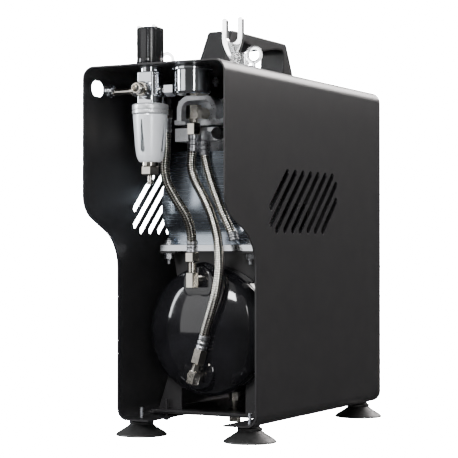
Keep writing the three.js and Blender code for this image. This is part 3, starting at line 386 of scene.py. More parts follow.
class Build:
    """Collects closed shapes, given in the part's millimetres, into one mesh object."""

    def __init__(self):
        self.verts, self.faces, self.slots, self.shades = [], [], [], []

    def add(self, verts, faces, slot=0, shades=None):
        base = len(self.verts)
        self.verts += [tuple(v) for v in verts]
        self.faces += [tuple(base + i for i in face) for face in faces]
        self.slots += [slot] * len(faces)
        self.shades += shades or [1.0] * len(verts)
        return self

    def rings(self, rings, closed_loop=False, slot=0, shades=None):
        """Skins rings of points; a ring of one point is a pole, and open ends are capped flat."""
        starts, verts, faces = [], [], []
        for ring in rings:
            starts.append(len(verts))
            verts += ring
        pairs = list(zip(range(len(rings)), range(1, len(rings))))
        if closed_loop:
            pairs.append((len(rings) - 1, 0))
        for a, b in pairs:
            na, nb = len(rings[a]), len(rings[b])
            sides = max(na, nb)
            for i in range(sides):
                j = (i + 1) % sides
                lower = [starts[a] + i, starts[a] + j] if na > 1 else [starts[a]]
                upper = [starts[b] + j, starts[b] + i] if nb > 1 else [starts[b]]
                faces.append(lower + upper)
        if not closed_loop:
            if len(rings[0]) > 2:
                faces.append([starts[0] + i for i in reversed(range(len(rings[0])))])
            if len(rings[-1]) > 2:
                faces.append([starts[-1] + i for i in range(len(rings[-1]))])
        return self.add(verts, faces, slot, shades)

    def turn(self, profile, origin, axis=Z, sides=64, soften=0.25, closed=False, slot=0, start=None):
        """A turned piece: profile lists (radius, height along the axis) in order of height."""
        origin, axis = Vector(origin), Vector(axis).normalized()
        start = Vector(start) if start else (X if abs(axis.x) < 0.9 else Y)
        u = (start - axis * start.dot(axis)).normalized()
        v = axis.cross(u)
        rings = []
        for radius, height in fillet(profile, soften, closed):
            centre = origin + axis * height
            if radius < 1e-6:
                rings.append([centre])
                continue
            angles = [2 * math.pi * i / sides for i in range(sides)]
            rings.append([centre + (u * math.cos(a) + v * math.sin(a)) * radius for a in angles])
        return self.rings(rings, closed, slot)

    def bar(self, radius, start, end, sides=64, chamfer=0.3, slot=0, bore=0, face=None):
        """A bar with chamfered ends between two points; sides=6 makes a hexagon, and bore a tube."""
        start, end = Vector(start), Vector(end)
        length = (end - start).length
        c = min(chamfer, length / 3)
        edge = [(radius - c, 0), (radius, c), (radius, length - c), (radius - c, length)]
        if bore:
            profile = [(bore, 0), *edge, (bore, length)]
            return self.turn(profile, start, end - start, sides, 0, True, slot, face)
        return self.turn([(0, 0), *edge, (0, length)], start, end - start, sides, 0, False, slot, face)

    def plate(self, outline, origin, u, v, depth, slot=0):
        """A flat outline in the u, v plane, thickened along u x v."""
        origin, u, v = Vector(origin), Vector(u), Vector(v)
        w = u.cross(v) * depth
        low = [origin + u * a + v * b for a, b in outline]
        return self.rings([low, [p + w for p in low]], slot=slot)

    def box(self, low, high, slot=0):
        outline = [(low[0], low[1]), (high[0], low[1]), (high[0], high[1]), (low[0], high[1])]
        return self.plate(outline, (0, 0, low[2]), X, Y, high[2] - low[2], slot)

    def tube(self, points, section, slot=0):
        """A tube along points; section(i) gives each ring's radii and their painted shade values."""
        along = [(points[min(i + 1, len(points) - 1)] - points[max(i - 1, 0)]).normalized()
                 for i in range(len(points))]
        side = (Y if abs(along[0].y) < 0.9 else X).cross(along[0]).normalized()
        rings, shades = [], []
        for i, point in enumerate(points):
            side = (side - along[i] * side.dot(along[i])).normalized()
            other = along[i].cross(side)
            radii, painted_shade_values = section(i)
            shades += painted_shade_values
            count = len(radii)
            rings.append([point + (side * math.cos(2 * math.pi * k / count)
                                   + other * math.sin(2 * math.pi * k / count)) * radii[k]
                          for k in range(count)])
        return self.rings(rings, slot=slot, shades=shades)

    def object(self, name, materials, sharp=35):
        shift = Vector((0, CASE_LO.y, CASE_LO.z)) if name != "floor" else Vector()
        unit = MM if name != "floor" else 1
        mesh = bpy.data.meshes.new(name)
        mesh.from_pydata([Vector(v) * unit + shift for v in self.verts], [], self.faces)
        for material in materials:
            mesh.materials.append(material)
        mesh.polygons.foreach_set("material_index", self.slots)
        mesh.polygons.foreach_set("use_smooth", [True] * len(self.faces))
        # The per-vertex shades go on the mesh as an attribute that the braid material uses as painted shade.
        if min(self.shades) < 1:
            mesh.attributes.new("braid_painted_shade", "FLOAT", "POINT").data.foreach_set("value", self.shades)
        mesh.validate()
        piece = bpy.data.objects.new(name, mesh)
        bpy.context.scene.collection.objects.link(piece)
        mesh.set_sharp_from_angle(angle=math.radians(sharp))
        return piece


def bevel(piece, width, segments=2, angle=35):
    """Rounds the hard edges of a piece; width is in millimetres."""
    modifier = piece.modifiers.new("soft_edges", "BEVEL")
    modifier.width = width * MM
    modifier.segments = segments
    modifier.limit_method = "ANGLE"
    modifier.angle_limit = math.radians(angle)
    modifier.use_clamp_overlap = True
    modifier.harden_normals = True
    return piece


def apply_modifiers(piece, sharp=35):
    """Bakes the modifiers into the piece's mesh."""
    graph = bpy.context.evaluated_depsgraph_get()
    mesh = bpy.data.meshes.new_from_object(piece.evaluated_get(graph))
    piece.modifiers.clear()
    piece.data = mesh
    mesh.set_sharp_from_angle(angle=math.radians(sharp))
    return piece


def carve(piece, cutter):
    """Takes the cutter's shape out of the piece, and drops the cutter."""
    modifier = piece.modifiers.new("carve", "BOOLEAN")
    modifier.object = cutter
    modifier.operation = "DIFFERENCE"
    modifier.solver = "EXACT"
    apply_modifiers(piece)
    bpy.data.objects.remove(cutter)
    return piece


def place(piece, body, slot, *nodes):
    """The piece rides on a body and stands for these CAD nodes; the slot argument is not used."""
    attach(piece, body)
    if nodes:
        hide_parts(*nodes)
    return piece


def dress(node, material, width=0.3, segments=2):
    """A CAD node that keeps its shape: softened edges and a finished material."""
    piece = NODES[node]
    piece.data.materials.clear()
    piece.data.materials.append(material)
    bevel(piece, width, segments, 30)
    return piece


COAT = powder_coat()
SATIN = moulded_plastic("satin_plastic", (0.014, 0.014, 0.015), 0.3, 0.42, 0.03)
GLOSS = moulded_plastic("gloss_plastic", (0.008, 0.008, 0.009), 0.12, 0.2, 0.008)
RUBBER = rubber()
CHROME = polished("polished_chrome", (0.86, 0.88, 0.92), 0.05, 0.1, 0.001)
NICKEL = polished("bright_nickel", (0.76, 0.72, 0.65), 0.12, 0.2, 0.002)
STEEL = brushed("turned_steel", (0.64, 0.65, 0.68), (250, 250, 2200))
SHEET = brushed("polished_sheet", (0.62, 0.7, 0.8), (14, 14, 900), 0.2, 0.3)
MIRROR = brushed("bright_plate", (0.8, 0.82, 0.86), (30, 900, 900), 0.1, 0.22)
CAST = cast_metal()
ENAMEL = enamel()
ACRYLIC = clear_acrylic()
BOWL = clear_bowl()
GUARD = frosted_guard()
PAPER = printed("dial_print", (0.85, 0.85, 0.82))
INK = printed("dial_ink", (0.02, 0.02, 0.02))
RED = printed("needle_red", (0.5, 0.02, 0.02))
BRAID = braid_wire_painted_shade()

# ---------------------------------------------------------------- case
SHEET_THICKNESS = 1.6
BEND = 10
FLANGE_TIP = 41
STEP = {"back": 61, "top": 217, "upper": 25, "lower": 40, "turn": math.radians(64)}


def front_edge(z):
    """How far the side's front edge stands back at a height."""
    upper, lower, turn = STEP["upper"], STEP["lower"], STEP["turn"]
    y1, z1 = upper * (1 - math.cos(turn)), STEP["top"] - upper * math.sin(turn)
    y2 = STEP["back"] - lower * (1 - math.cos(turn))
    z2 = z1 - (y2 - y1) / math.tan(turn)
    low = z2 - lower * math.sin(turn)
    if z >= STEP["top"]:
        return 0
    if z >= z1:
        return upper - math.sqrt(upper ** 2 - (STEP["top"] - z) ** 2)
    if z >= z2:
        return y1 + (z1 - z) * math.tan(turn)
    if z >= low:
        return STEP["back"] - lower + math.sqrt(lower ** 2 - (z - low) ** 2)
    return STEP["back"]


def case_section():
    """The sheet's outer face seen from the front, from one flange tip over the top to the other."""
    w = WIDTH / 2
    heights = [HEIGHT - BEND, 300, 260, STEP["top"]]
    heights += [STEP["top"] - 2.5 * i for i in range(1, 29)] + [120, 80, 40]
    left = [(-FLANGE_TIP, 0), *arc(-w + BEND, BEND, BEND, 270, 180, 12)]
    left += [(-w, z) for z in reversed(heights[1:])]
    left += arc(-w + BEND, HEIGHT - BEND, BEND, 180, 90, 12)
    return left + [(-x, z) for x, z in reversed(left)]


def slot_outline(ya, za, yb, zb, width):
    """A slot with round ends in the side plane."""
    turn = math.degrees(math.atan2(zb - za, yb - ya))
    r = width / 2
    return arc(ya, za, r, turn + 90, turn + 270, 10) + arc(yb, zb, r, turn - 90, turn + 90, 10)


VENT_FIELD = {"y": (92, 240), "z": (184, 240), "first": -2, "last": 6, "start": 104, "pitch": 17.3,
              "width": 7, "slope": math.tan(math.radians(44))}


def case_holes():
    """The vents, the hose hole and the round openings of the top."""
    cutter = Build()
    (y0, y1), (z0, z1) = VENT_FIELD["y"], VENT_FIELD["z"]
    for i in range(VENT_FIELD["first"], VENT_FIELD["last"] + 1):
        base = VENT_FIELD["start"] + i * VENT_FIELD["pitch"]
        ya, yb = max(base, y0), min(base + (z1 - z0) / VENT_FIELD["slope"], y1)
        za, zb = (z0 + (y - base) * VENT_FIELD["slope"] for y in (ya, yb))
        cutter.plate(slot_outline(ya, za, yb, zb, VENT_FIELD["width"]), (-100, 0, 0), Y, Z, 200)
    cutter.plate(slot_outline(21, 319, 28, 319, 15), (-90, 0, 0), Y, Z, 30)
    for node, radius in (("pressure_knob", 11), ("gauge_lens", 17.3)):
        centre = middle(node)
        cutter.bar(radius, (centre.x, centre.y, HEIGHT - 12), (centre.x, centre.y, HEIGHT + 8), 96, 0)
    return cutter.object("case_holes", [])


def make_case():
    """The bent sheet shell with its openings, and the flanges that the back cover sits on."""
    section = case_section()
    verts, faces = [], []
    for x, z in section:
        start = STEP["back"] if z < BEND else front_edge(z)
        verts += [(x, start, z), (x, DEPTH, z)]
    for i in range(len(section) - 1):
        faces.append((2 * i, 2 * i + 1, 2 * i + 3, 2 * i + 2))
    shell = Build().add(verts, faces).object("case_shell", [COAT])
    thick = shell.modifiers.new("sheet", "SOLIDIFY")
    thick.thickness = SHEET_THICKNESS * MM
    thick.offset = -1
    thick.use_even_offset = True
    carve(shell, case_holes())
    bevel(shell, 0.3, 2, 50)
    place(shell, "machine", "case_black", "case_wrap")
    strips = Build()
    for side in (-1, 1):
        x0, x1 = sorted((side * 60, side * (WIDTH / 2 - 1)))
        strips.box((x0, DEPTH - SHEET_THICKNESS, 12), (x1, DEPTH - 0.05, HEIGHT - 12))
    bevel(strips.object("case_rear_flanges", [COAT]), 0.3)
    place(bpy.data.objects["case_rear_flanges"], "machine", "case_black")


def make_foot(node):
    """A suction foot on its stud: a soft bell with a stepped neck and a thin lip."""
    low, high = span(node)
    x, y = ((low + high) / 2).xy
    base = low.z
    build = Build()
    bell = [(0, 4.4), (8, 4.1), (16, 3), (21.5, 1.1), (23.9, 0), (25.2, 0), (25.55, 0.6), (24.9, 1.8),
            (22.6, 3.7), (18.4, 6.2), (14.4, 8.7), (12.1, 10.6), (11.5, 11.3), (12.1, 12), (12.1, 13.4),
            (10.6, 14), (9.9, 14.6), (9.5, 16.4), (0, 16.6)]
    build.turn(bell, (x, y, base), sides=72, soften=0.4)
    threads = [(0, 15)]
    top = high.z - base
    turns = int((top - 16.8) / 0.7)
    for i in range(turns):
        threads += [(1.6, 16.8 + 0.7 * i), (2, 17.15 + 0.7 * i)]
    threads += [(1.5, top - 0.1), (0, top)]
    build.turn(threads, (x, y, base), sides=24, soften=0, slot=1)
    piece = build.object(node.replace("foot", "cup"), [RUBBER, STEEL])
    place(piece, "machine", "rubber_black", node)


# ---------------------------------------------------------------- handle
def make_handle():
    """A sloping block with a hand hole whose upper side swells towards the fingers."""
    low, high = span("carry_handle")
    z0, z1 = low.z, high.z
    y0, y1 = low.y, high.y
    slopes = [(y1, z0), (y1 - 24, z1), (y0 + 28, z1), (y0, z0)]
    outline = fillet(slopes, 6, False, 8)
    bore0, bore1, under = 137, 245, z1 - 8
    inner = [(bore0, z0 + 5), (bore1, z0 + 5)]
    inner += arc(bore1 - 5, under - 5, 5, 0, 90, 6)
    count = 24
    for i in range(1, count):
        t = i / count
        y = bore1 - 5 - (bore1 - bore0 - 10) * t
        inner.append((y, under - 4.5 * math.sin(math.pi * t) ** 2 * (1 + 0.25 * math.sin(math.pi * t))))
    inner += arc(bore0 + 5, under - 5, 5, 90, 180, 6)
    half = high.x
    body = Build().plate(outline, (-half, 0, 0), Y, Z, 2 * half).object("handle_grip", [SATIN])
    hole = Build().plate(inner, (-half - 5, 0, 0), Y, Z, 2 * half + 10).object("handle_hole", [])
    carve(body, hole)
    bevel(body, 2.6, 4, 50)
    place(body, "machine", "plastic_black", "carry_handle")


# ---------------------------------------------------------------- regulator and filter
REGULATOR_TOP = 331.6
KNOB = {"sides": 180, "flats": 10, "groove": 0.8, "groove_half": 0.085, "bore": 10.8, "bore_depth": 6}


def make_knob():
    """A glossy knob with rounded ribs, a plain collar at its foot and a domed cap."""
    low, high = span("pressure_knob")
    x, y = ((low + high) / 2).xy
    foot, top = low.z, high.z
    sides, flats = KNOB["sides"], KNOB["flats"]
    tall = top - foot
    levels = [(12.2, 0, 0), (12.9, 0.4, 0), (12.9, 3.6, 0), (12.6, 4.1, 0.3), (12.9, 5, 1),
              (12.9, tall - 2, 1), (12.6, tall - 1, 0.8), (11.9, tall - 0.3, 0.3), (11, tall, 0),
              (9, tall, 0), (8.6, tall - 0.5, 0), (0.001, tall - 0.5, 0)]
    rings = []
    for radius, height, depth in levels:
        ring = []
        for i in range(sides):
            a = 2 * math.pi * i / sides
            off = abs(((a * flats / (2 * math.pi) + 0.5) % 1) - 0.5)
            groove = KNOB["groove"] * max(0, 1 - (off / KNOB["groove_half"]) ** 2)
            chord = (off - 0.5) * 2 * math.pi / flats
            flat = 0.5 * radius * (1 - math.cos(math.pi / flats) / math.cos(chord))
            r = radius - depth * (groove + flat)
            ring.append(Vector((x + r * math.cos(a), y + r * math.sin(a), foot + height)))
        rings.append(ring)
    bore = []
    for radius, height in ((0.01, KNOB["bore_depth"]), (KNOB["bore"], KNOB["bore_depth"]), (KNOB["bore"], 0)):
        circle = arc(x, y, radius, 0, 360, sides)[:-1]
        bore.append([Vector((a, b, foot + height)) for a, b in circle])
    build = Build().rings(bore + rings)
    place(build.object("knob_grip", [GLOSS]), "knob", "gloss_black", "pressure_knob")


def make_lock_ring():
    """The ring that holds the regulator to the case's top."""
    low, high = span("lock_ring")
    centre = (low + high) / 2
    ring = Build().turn([(10.7, 0), (16, 0), (16.1, 2), (15.4, 3), (10.7, 3)],
                        (centre.x, centre.y, low.z), sides=96, soften=0.4, closed=True)
    place(ring.object("lock_collar", [SATIN]), "machine", "plastic_black", "lock_ring")


def make_regulator():
    """The polished regulator block with its flats, bonnet and ports."""
    low, high = span("regulator_body")
    knob = middle("pressure_knob")
    x, y = knob.x, knob.y
    port = middle("front_outlet").z
    top = REGULATOR_TOP
    build = Build()
    ring = []
    radius, flat = 12.5, 10
    for i in range(96):
        a = 2 * math.pi * i / 96
        cx, cy = radius * math.cos(a), radius * math.sin(a)
        ring.append((cx, max(-flat, min(flat, cy))))
    levels = [(0.94, low.z), (1, low.z + 0.6), (1, 308.4), (0.97, 308.9), (0.97, 309.6), (1, 310.1),
              (1, top - 0.8), (0.94, top)]
    build.rings([[Vector((x + cx * k, y + cy * k, z)) for cx, cy in ring] for k, z in levels])
    build.turn([(4.7, 0), (10.1, 0), (10.1, high.z - top - 0.5), (9.4, high.z - top), (4.7, high.z - top)],
               (x, y, top), sides=72, soften=0.2, closed=True)
    build.bar(7.4, (x, y - 8, port), (x, y - 15.5, port), 48, 0.5)
    build.bar(5, (x, y + 8, port), (x, y + 35, port), 40, 0.3)
    build.bar(6, (x, y + 29, port + 5), (x, y + 29, 300), 6, 0.5)
    build.bar(6.6, (x - 8, y, port), (x - 16, y, port), 6, 0.5)
    build.bar(5, (x + 8, y, port), (x + 14, y, port), 40, 0.4)
    place(build.object("regulator_block", [CHROME]), "machine", "chrome", "regulator_body")


def make_outlets():
    """The front nozzle, the pipe to the side of the case and its quick coupler."""
    knob = middle("pressure_knob")
    x, y = knob.x, knob.y
    low, high = span("front_outlet")
    z = (low.z + high.z) / 2
    back = high.y
    front = low.y
    reach = back - front
    nose = [(3.7, 0), (6.6, 0), (6.8, 0.6), (6.8, 2), (6.2, 2.5), (5.2, 2.6), (5.2, 4.2), (4.9, 4.6),
            (5.3, 5.1), (4.9, 5.6), (5.3, 6.1), (4.9, 6.6), (5.3, 7.1), (4.9, 7.6), (5.2, 8.1),
            (5.1, reach - 0.4), (4.6, reach), (3.7, reach)]
    outlet = Build().turn(nose, (x, back, z), -Y, 56, 0.1, closed=True)
    place(outlet.object("front_nozzle", [NICKEL]), "machine", "nickel", "front_outlet")
    low, high = span("side_outlet")
    length = high.x - low.x
    rod = Build()
    rod.turn([(0, 0), (4.6, 0), (4.6, 1.4), (4, 1.8), (4.6, 2.2), (4.6, 4.8), (3.1, 5.6), (3.1, length),
              (0, length)], (high.x, y, (low.z + high.z) / 2), -X, 40, 0.2)
    place(rod.object("side_pipe", [NICKEL]), "machine", "nickel", "side_outlet")
    low, high = span("side_coupler")
    length = high.x - low.x
    sleeve = [(3.9, 1.5), (5.2, 0), (5.2, 2.6), (6.4, 3.2), (6.4, 4), (5.9, 4.4), (6.4, 4.8),
              (6.4, length - 1), (5.7, length), (3.9, length)]
    cap = Build().turn(sleeve, (high.x, y, (low.z + high.z) / 2), -X, 56, 0.15, closed=True)
    place(cap.object("quick_coupler", [CHROME]), "machine", "chrome", "side_coupler")


def make_filter():
    """The collar, slotted guard, clear bowl with its element, and the drain under them."""
    centre = middle("bowl_collar")
    x, y = centre.x, centre.y
    low, high = span("bowl_collar")
    collar = Build()
    height = high.z - low.z
    collar.turn([(10.6, 0), (16.4, 0), (17.1, 0.9), (17.1, 3.2), (16.6, 3.6), (16.6, 4.2), (17.1, 4.6),
                 (17.1, height - 2), (16.2, height - 0.9), (13.2, height - 0.2), (10.6, height)],
                (x, y, low.z), sides=96, soften=0.25, closed=True)
    heart = Vector((x, y, low.z + 7))
    for i in range(4):
        a = math.radians(20 + 90 * i)
        out = Vector((math.cos(a), math.sin(a), 0))
        collar.bar(1.3, heart + out * 15, heart + out * 17, 20, 0.2)
    place(collar.object("collar_ring", [CAST]), "machine", "aluminium", "bowl_collar")
    low, high = span("bowl_guard")
    base, top = low.z, high.z - low.z
    shell = [(8.7, 0), (9.8, 0.2), (11, 1.7), (12, 3.6), (12.9, 6.2), (14.2, 15.1), (15.4, 32),
             (16.2, top - 1), (16, top), (14.9, top), (14.1, 32), (12.9, 15), (11.6, 7), (10.8, 4.6),
             (9.8, 3), (8.7, 2.5)]
    guard = Build().turn(shell, (x, y, base), sides=96, soften=0.2, closed=True).object("guard_cage", [GUARD])
    slots = Build()
    for i in range(4):
        a = math.radians(90 * i)
        out = Vector((math.cos(a), math.sin(a), 0))
        side = Z.cross(out)
        outline = arc(0, 258.4, 2.3, 180, 360, 12) + arc(0, 286, 0.7, 0, 180, 8)
        slots.plate(outline, Vector((x, y, 0)) + out * 9, side, Z, 14)
    carve(guard, slots.object("guard_slots", []))
    bevel(guard, 0.25, 2, 45)
    place(guard, "machine", "guard", "bowl_guard")
    low, high = span("filter_bowl")
    height = high.z - low.z
    cup = [(0, 0), (7, 0.3), (8.9, 1.6), (10.3, 5), (13.6, height), (12.1, height), (8.8, 5.6),
           (7.2, 2.4), (0, 1.8)]
    bowl = Build().turn(cup, (x, y, low.z), sides=64, soften=0.3)
    place(bowl.object("clear_bowl_cup", [BOWL]), "machine", "bowl_clear", "filter_bowl")
    low, high = span("filter_element")
    sleeve = [(0, 0)]
    for i in range(14):
        sleeve += [(6.4, 0.4 + i * 2.5), (5.9, 1.6 + i * 2.5)]
    sleeve += [(6.3, high.z - low.z - 0.3), (0, high.z - low.z)]
    place(Build().turn(sleeve, (x, y, low.z), sides=40, soften=0.1).object("filter_sleeve", [PAPER]),
          "machine", "white", "filter_element")
    low, high = span("drain_body")
    nut = Build()
    height = high.z - low.z
    nut.turn([(0, 11), (3, 11), (3, 8), (8.1, 8), (8.3, 8.6), (8.3, height), (0, height)],
             (x, y, low.z), sides=64, soften=0.15)
    hexagon = [(3, 0), (8, 0), (8.9, 0.9), (8.9, 7.4), (8, 8.3), (3, 8.3)]
    nut.turn(hexagon, (x, y, low.z), sides=6, soften=0, closed=True)
    place(nut.object("drain_nut", [NICKEL]), "machine", "nickel", "drain_body")
    low, high = span("drain_stem")
    height = high.z - low.z
    stem = Build().turn([(0, 0), (2.6, 0), (3.4, 0.7), (3.4, 1.9), (2.5, 2.7), (2.5, height), (0, height)],
                        (x, y, low.z), sides=36, soften=0.2)
    place(stem.object("drain_button_stem", [NICKEL]), "drain_button", "nickel", "drain_stem")


# ---------------------------------------------------------------- gauge
def make_gauge():
    """The cup in the case's top, with its dial, tick marks, needle and window."""
    low, high = span("gauge_case")
    x, y = ((low + high) / 2).xy
    flange = HEIGHT - SHEET_THICKNESS - 0.3 - low.z
    height, seat = high.z - low.z, 325 - low.z
    r = 17
    cup = Build()
    cup.turn([(0, 0), (14.6, 0), (16.2, 0.7), (r, 2.4), (r, flange - 3), (19.3, flange - 3),
              (19.5, flange - 2.4), (19.5, flange - 0.4), (19, flange), (r, flange), (r, height - 0.3),
              (16.6, height), (15.4, height), (15.4, seat), (0, seat)], (x, y, low.z), sides=96, soften=0.25)
    place(cup.object("gauge_cup", [CHROME]), "machine", "chrome", "gauge_case")
    low, high = span("gauge_dial")
    dial = Build()
    dial.turn([(1, 0), (15, 0), (15, 0.9), (1, 0.9)], (x, y, low.z), sides=72, soften=0.05, closed=True)
    for i in range(31):
        a = math.radians(225 - 270 * i / 30)
        long_mark = i % 5 == 0
        inner, outer, half = (9.6 if long_mark else 11.4), 13.4, (0.32 if long_mark else 0.16)
        out = Vector((math.cos(a), math.sin(a), 0))
        side = Z.cross(out) * half
        centre = Vector((x, y, high.z - 0.1))
        near, far = centre + out * inner, centre + out * outer
        corners = [near - side, far - side, far + side, near + side]
        dial.rings([corners, [c + Vector((0, 0, 0.06)) for c in corners]], slot=1)
    place(dial.object("dial_face", [PAPER, INK]), "machine", "white", "gauge_dial")
    low, high = span("gauge_needle")
    out = Vector((-1, -1, 0)).normalized()
    side = Z.cross(out)
    centre = Vector((x, y, 328))
    tail, tip = centre - out * 4, centre + out * 11.4
    blade = [tail - side * 1.1, tail + side * 1.1, tip + side * 0.25, tip - side * 0.25]
    needle = Build().rings([list(reversed(blade)), [p + Vector((0, 0, 0.7)) for p in reversed(blade)]])
    needle.turn([(0, low.z), (0.8, low.z), (0.8, 327.6), (2, 327.8), (2, 329.2), (0.8, 329.4),
                 (0.8, high.z), (0, high.z)], (x, y, 0), sides=32, soften=0.1)
    place(needle.object("needle_pointer", [RED]), "needle", "needle", "gauge_needle")
    low, high = span("gauge_lens")
    lens = Build().turn([(0, 0), (15.1, 0), (15.1, 1.9), (13.5, 2.35), (0, 2.4)],
                        (x, y, low.z), sides=72, soften=0.2)
    place(lens.object("gauge_window", [BOWL]), "machine", "bowl_clear", "gauge_lens")
    dress("gauge_nut", CHROME, 0.3)


# ---------------------------------------------------------------- airbrush holders
def make_holder(node):
    """One clear moulding: faceted foot, forked prongs and a small ring."""
    low, high = span(node)
    y = (low.y + high.y) / 2
    side = -1 if high.x < 0 else 1
    x = 48 * side
    z0 = low.z
    fx, spread, arm, crotch = x - 6, 8.5, 2.3, z0 + 31
    build = Build()
    build.turn([(0, 0), (10.9, 0), (10.9, 2), (9.9, 3.2), (8.6, 9), (7.5, 15), (6.6, 16), (0, 16)],
               (x, y, z0), sides=8, soften=0.4)
    reach = spread + arm
    left = [(fx - reach + (reach - 1) * (1 - t) ** 1.6, z0 + 8 + 22 * t) for t in (0, .2, .4, .6, .8, 1)]
    right = [(2 * fx - a, b) for a, b in left]
    outline = left + arc(fx - spread, z0 + 49.7 - arm, arm, 180, 0, 12)
    for i in range(13):
        t = i / 12
        outline.append((fx - (spread - arm) * math.cos(math.pi * t), crotch - 5 * math.sin(math.pi * t)))
    outline += arc(fx + spread, z0 + 49.9 - arm, arm, 180, 0, 12) + list(reversed(right))
    build.plate(list(reversed(outline)), (0, y - 3, 0), X, Z, -6)
    loop = arc(7, 0, 1.7, 0, 360, 16)[:-1]
    build.turn(loop, (x + 16.5, y, z0 + 13), Y, 56, 0, True)
    build.box((x, y - 3.8, z0), (x + 16.8, y + 3.8, z0 + 2.9))
    build.box((x + 14.7, y - 1.8, z0 + 1), (x + 17.8, y + 1.8, z0 + 6.4))
    build.box((x + 6, y - 2.3, z0 + 4), (x + 10.8, y + 2.3, z0 + 14.8))
    piece = build.object(node.replace("airbrush_holder", "acrylic_fork"), [ACRYLIC])
    bevel(piece, 0.9, 3, 40)
    place(piece, "machine", "clear", node)


# ---------------------------------------------------------------- tank
TANK = {"z": 85.6, "radius": 64, "dome": 27, "front": 108.5, "rear": 300, "ports": (132, 47), "pad_face": 86}
FITTINGS_Y = 75


def make_tank():
    """A lying vessel with welded domed ends and two fitting pads on its front."""
    r, dome, front, rear = TANK["radius"], TANK["dome"], TANK["front"], TANK["rear"]
    profile = []
    for i in range(33):
        a = math.pi / 2 * i / 32
        profile.append((r * math.sin(a), -dome * math.cos(a)))
    length = rear - front
    profile += [(r, 1.2), (r - 0.3, 2), (r - 0.3, 2.6), (r, 3.4)]
    profile += [(r, length - 3.4), (r - 0.3, length - 2.6), (r - 0.3, length - 2), (r, length - 1.2)]
    for i in range(33):
        a = math.pi / 2 * (1 - i / 32)
        profile.append((r * math.sin(a), length + dome * math.cos(a)))
    body = Build().turn(profile, (0, front, TANK["z"]), Y, 160, 0)
    for z in TANK["ports"]:
        pad = [(0, 0), (15.6, 0), (17, 0.9), (17.2, 2.4), (17.9, 5), (19.5, 8.6), (21, 11.5), (0, 12)]
        body.turn(pad, (0, TANK["pad_face"], z), Y, 72, 0.3)
    place(body.object("tank_vessel", [ENAMEL]), "machine", "tank_black", "air_tank")


def make_fittings():
    """The elbows on the tank's two pads, and the small fittings that keep their CAD shape."""
    top = Build()
    low, high = span("tank_elbow_top")
    z = TANK["ports"][0]
    top.bar(6.4, (0, high.y, z + 3), (0, FITTINGS_Y, z + 3), 48, 0.3)
    top.bar(6.6, (0, FITTINGS_Y, low.z), (0, FITTINGS_Y, 143), 6, 0.7)
    top.bar(4.6, (0, FITTINGS_Y, 142), (0, FITTINGS_Y, high.z), 40, 0.3)
    place(top.object("upper_tank_elbow", [NICKEL]), "machine", "nickel", "tank_elbow_top")
    low, high = span("tank_elbow_lower")
    z = TANK["ports"][1] - 4
    lower = Build()
    lower.bar(6.4, (0.5, high.y, z), (0.5, FITTINGS_Y, z), 48, 0.3)
    lower.bar(6.8, low_leg(-2), low_leg(11), 6, 0.8)
    lower.bar(4.6, low_leg(10), low_leg(18), 40, 0.3)
    place(lower.object("lower_tank_elbow", [NICKEL]), "machine", "nickel", "tank_elbow_lower")
    dress("tank_drain_cock", NICKEL, 0.4)
    dress("head_elbow", NICKEL, 0.4)


def low_leg(s):
    """A point on the tilted leg of the lower tank elbow."""
    return Vector((0.3 + 0.29 * s, FITTINGS_Y, 38 + 0.957 * s))


# ---------------------------------------------------------------- hoses
OUTLET_ROUTE = [(-17, 54, 288), (-17, 54, 262), (-18.4, 54, 243), (-16.5, 56, 229), (-10, 60.5, 214),
                (-2, 66, 198), (0.3, 71.5, 184), (0, 75, 168)]
FEED_ROUTE = [(-11.5, 98, 272), (-13.2, 98, 258), (-13, 96.8, 245), (-8, 95.5, 232), (0.5, 94, 218.5),
              (9.8, 92, 203), (16, 89.5, 190), (21.2, 86.5, 177), (25.2, 82.5, 162.5), (27.8, 78.5, 147),
              (27.8, 75.5, 133), (25.8, 73.5, 119), (21.3, 73, 104), (16.3, 73.6, 90), (11.8, 74.7, 76)]
UNLOADER_ROUTE = [(-1, 101.2, 262), (0.5, 100.8, 252), (4.5, 99.5, 240), (10, 97.5, 227), (16, 96, 214),
                  (22, 95.5, 201), (28, 95.5, 189), (33, 96, 178)]
BRAID_COLUMNS = 10
BRAID_PITCH = 2.3


def braided(build, route, radius):
    """A hose under a wire braid: columns of short slanting bands, with painted shade darkening the gaps
    between them.
    """
    points = smooth_route(route, 38)
    around = BRAID_COLUMNS * 6
    travelled = [0.0]
    for a, b in zip(points, points[1:]):
        travelled.append(travelled[-1] + (b - a).length)

    def section(i):
        radii, painted_shade_values = [], []
        for k in range(around):
            column, across = divmod(BRAID_COLUMNS * k / around, 1)
            slant = 0.45 if column % 2 else -0.45
            step = (travelled[i] / BRAID_PITCH + slant * across + 0.5 * (column % 2)) % 1
            rise = (math.sin(math.pi * (across * 0.92 + 0.04)) * math.sin(math.pi * step)) ** 0.6
            radii.append(radius - 0.42 + 0.4 * rise)
            # Low spots of the braid get a darker value: painted shade in its gaps and at its band edges.
            painted_shade_values.append(min(1.0, max(0.0, 1.7 * rise - 0.45)))
        return radii, painted_shade_values

    return build.tube(points, section)


def ferrule(build, start, end, radius):
    """A crimped sleeve with two pressed grooves and a rolled mouth."""
    start, end = Vector(start), Vector(end)
    length = (end - start).length
    groove = radius - 0.5
    profile = [(0, 0), (groove, 0), (radius, 0.7)]
    for place_along in (0.28, 0.58):
        profile += [(radius, length * place_along), (groove, length * (place_along + 0.06)),
                    (groove, length * (place_along + 0.14)), (radius, length * (place_along + 0.2))]
    profile += [(radius, length - 0.7), (groove, length), (0, length)]
    return build.turn(profile, start, end - start, 48, 0.2, slot=1)


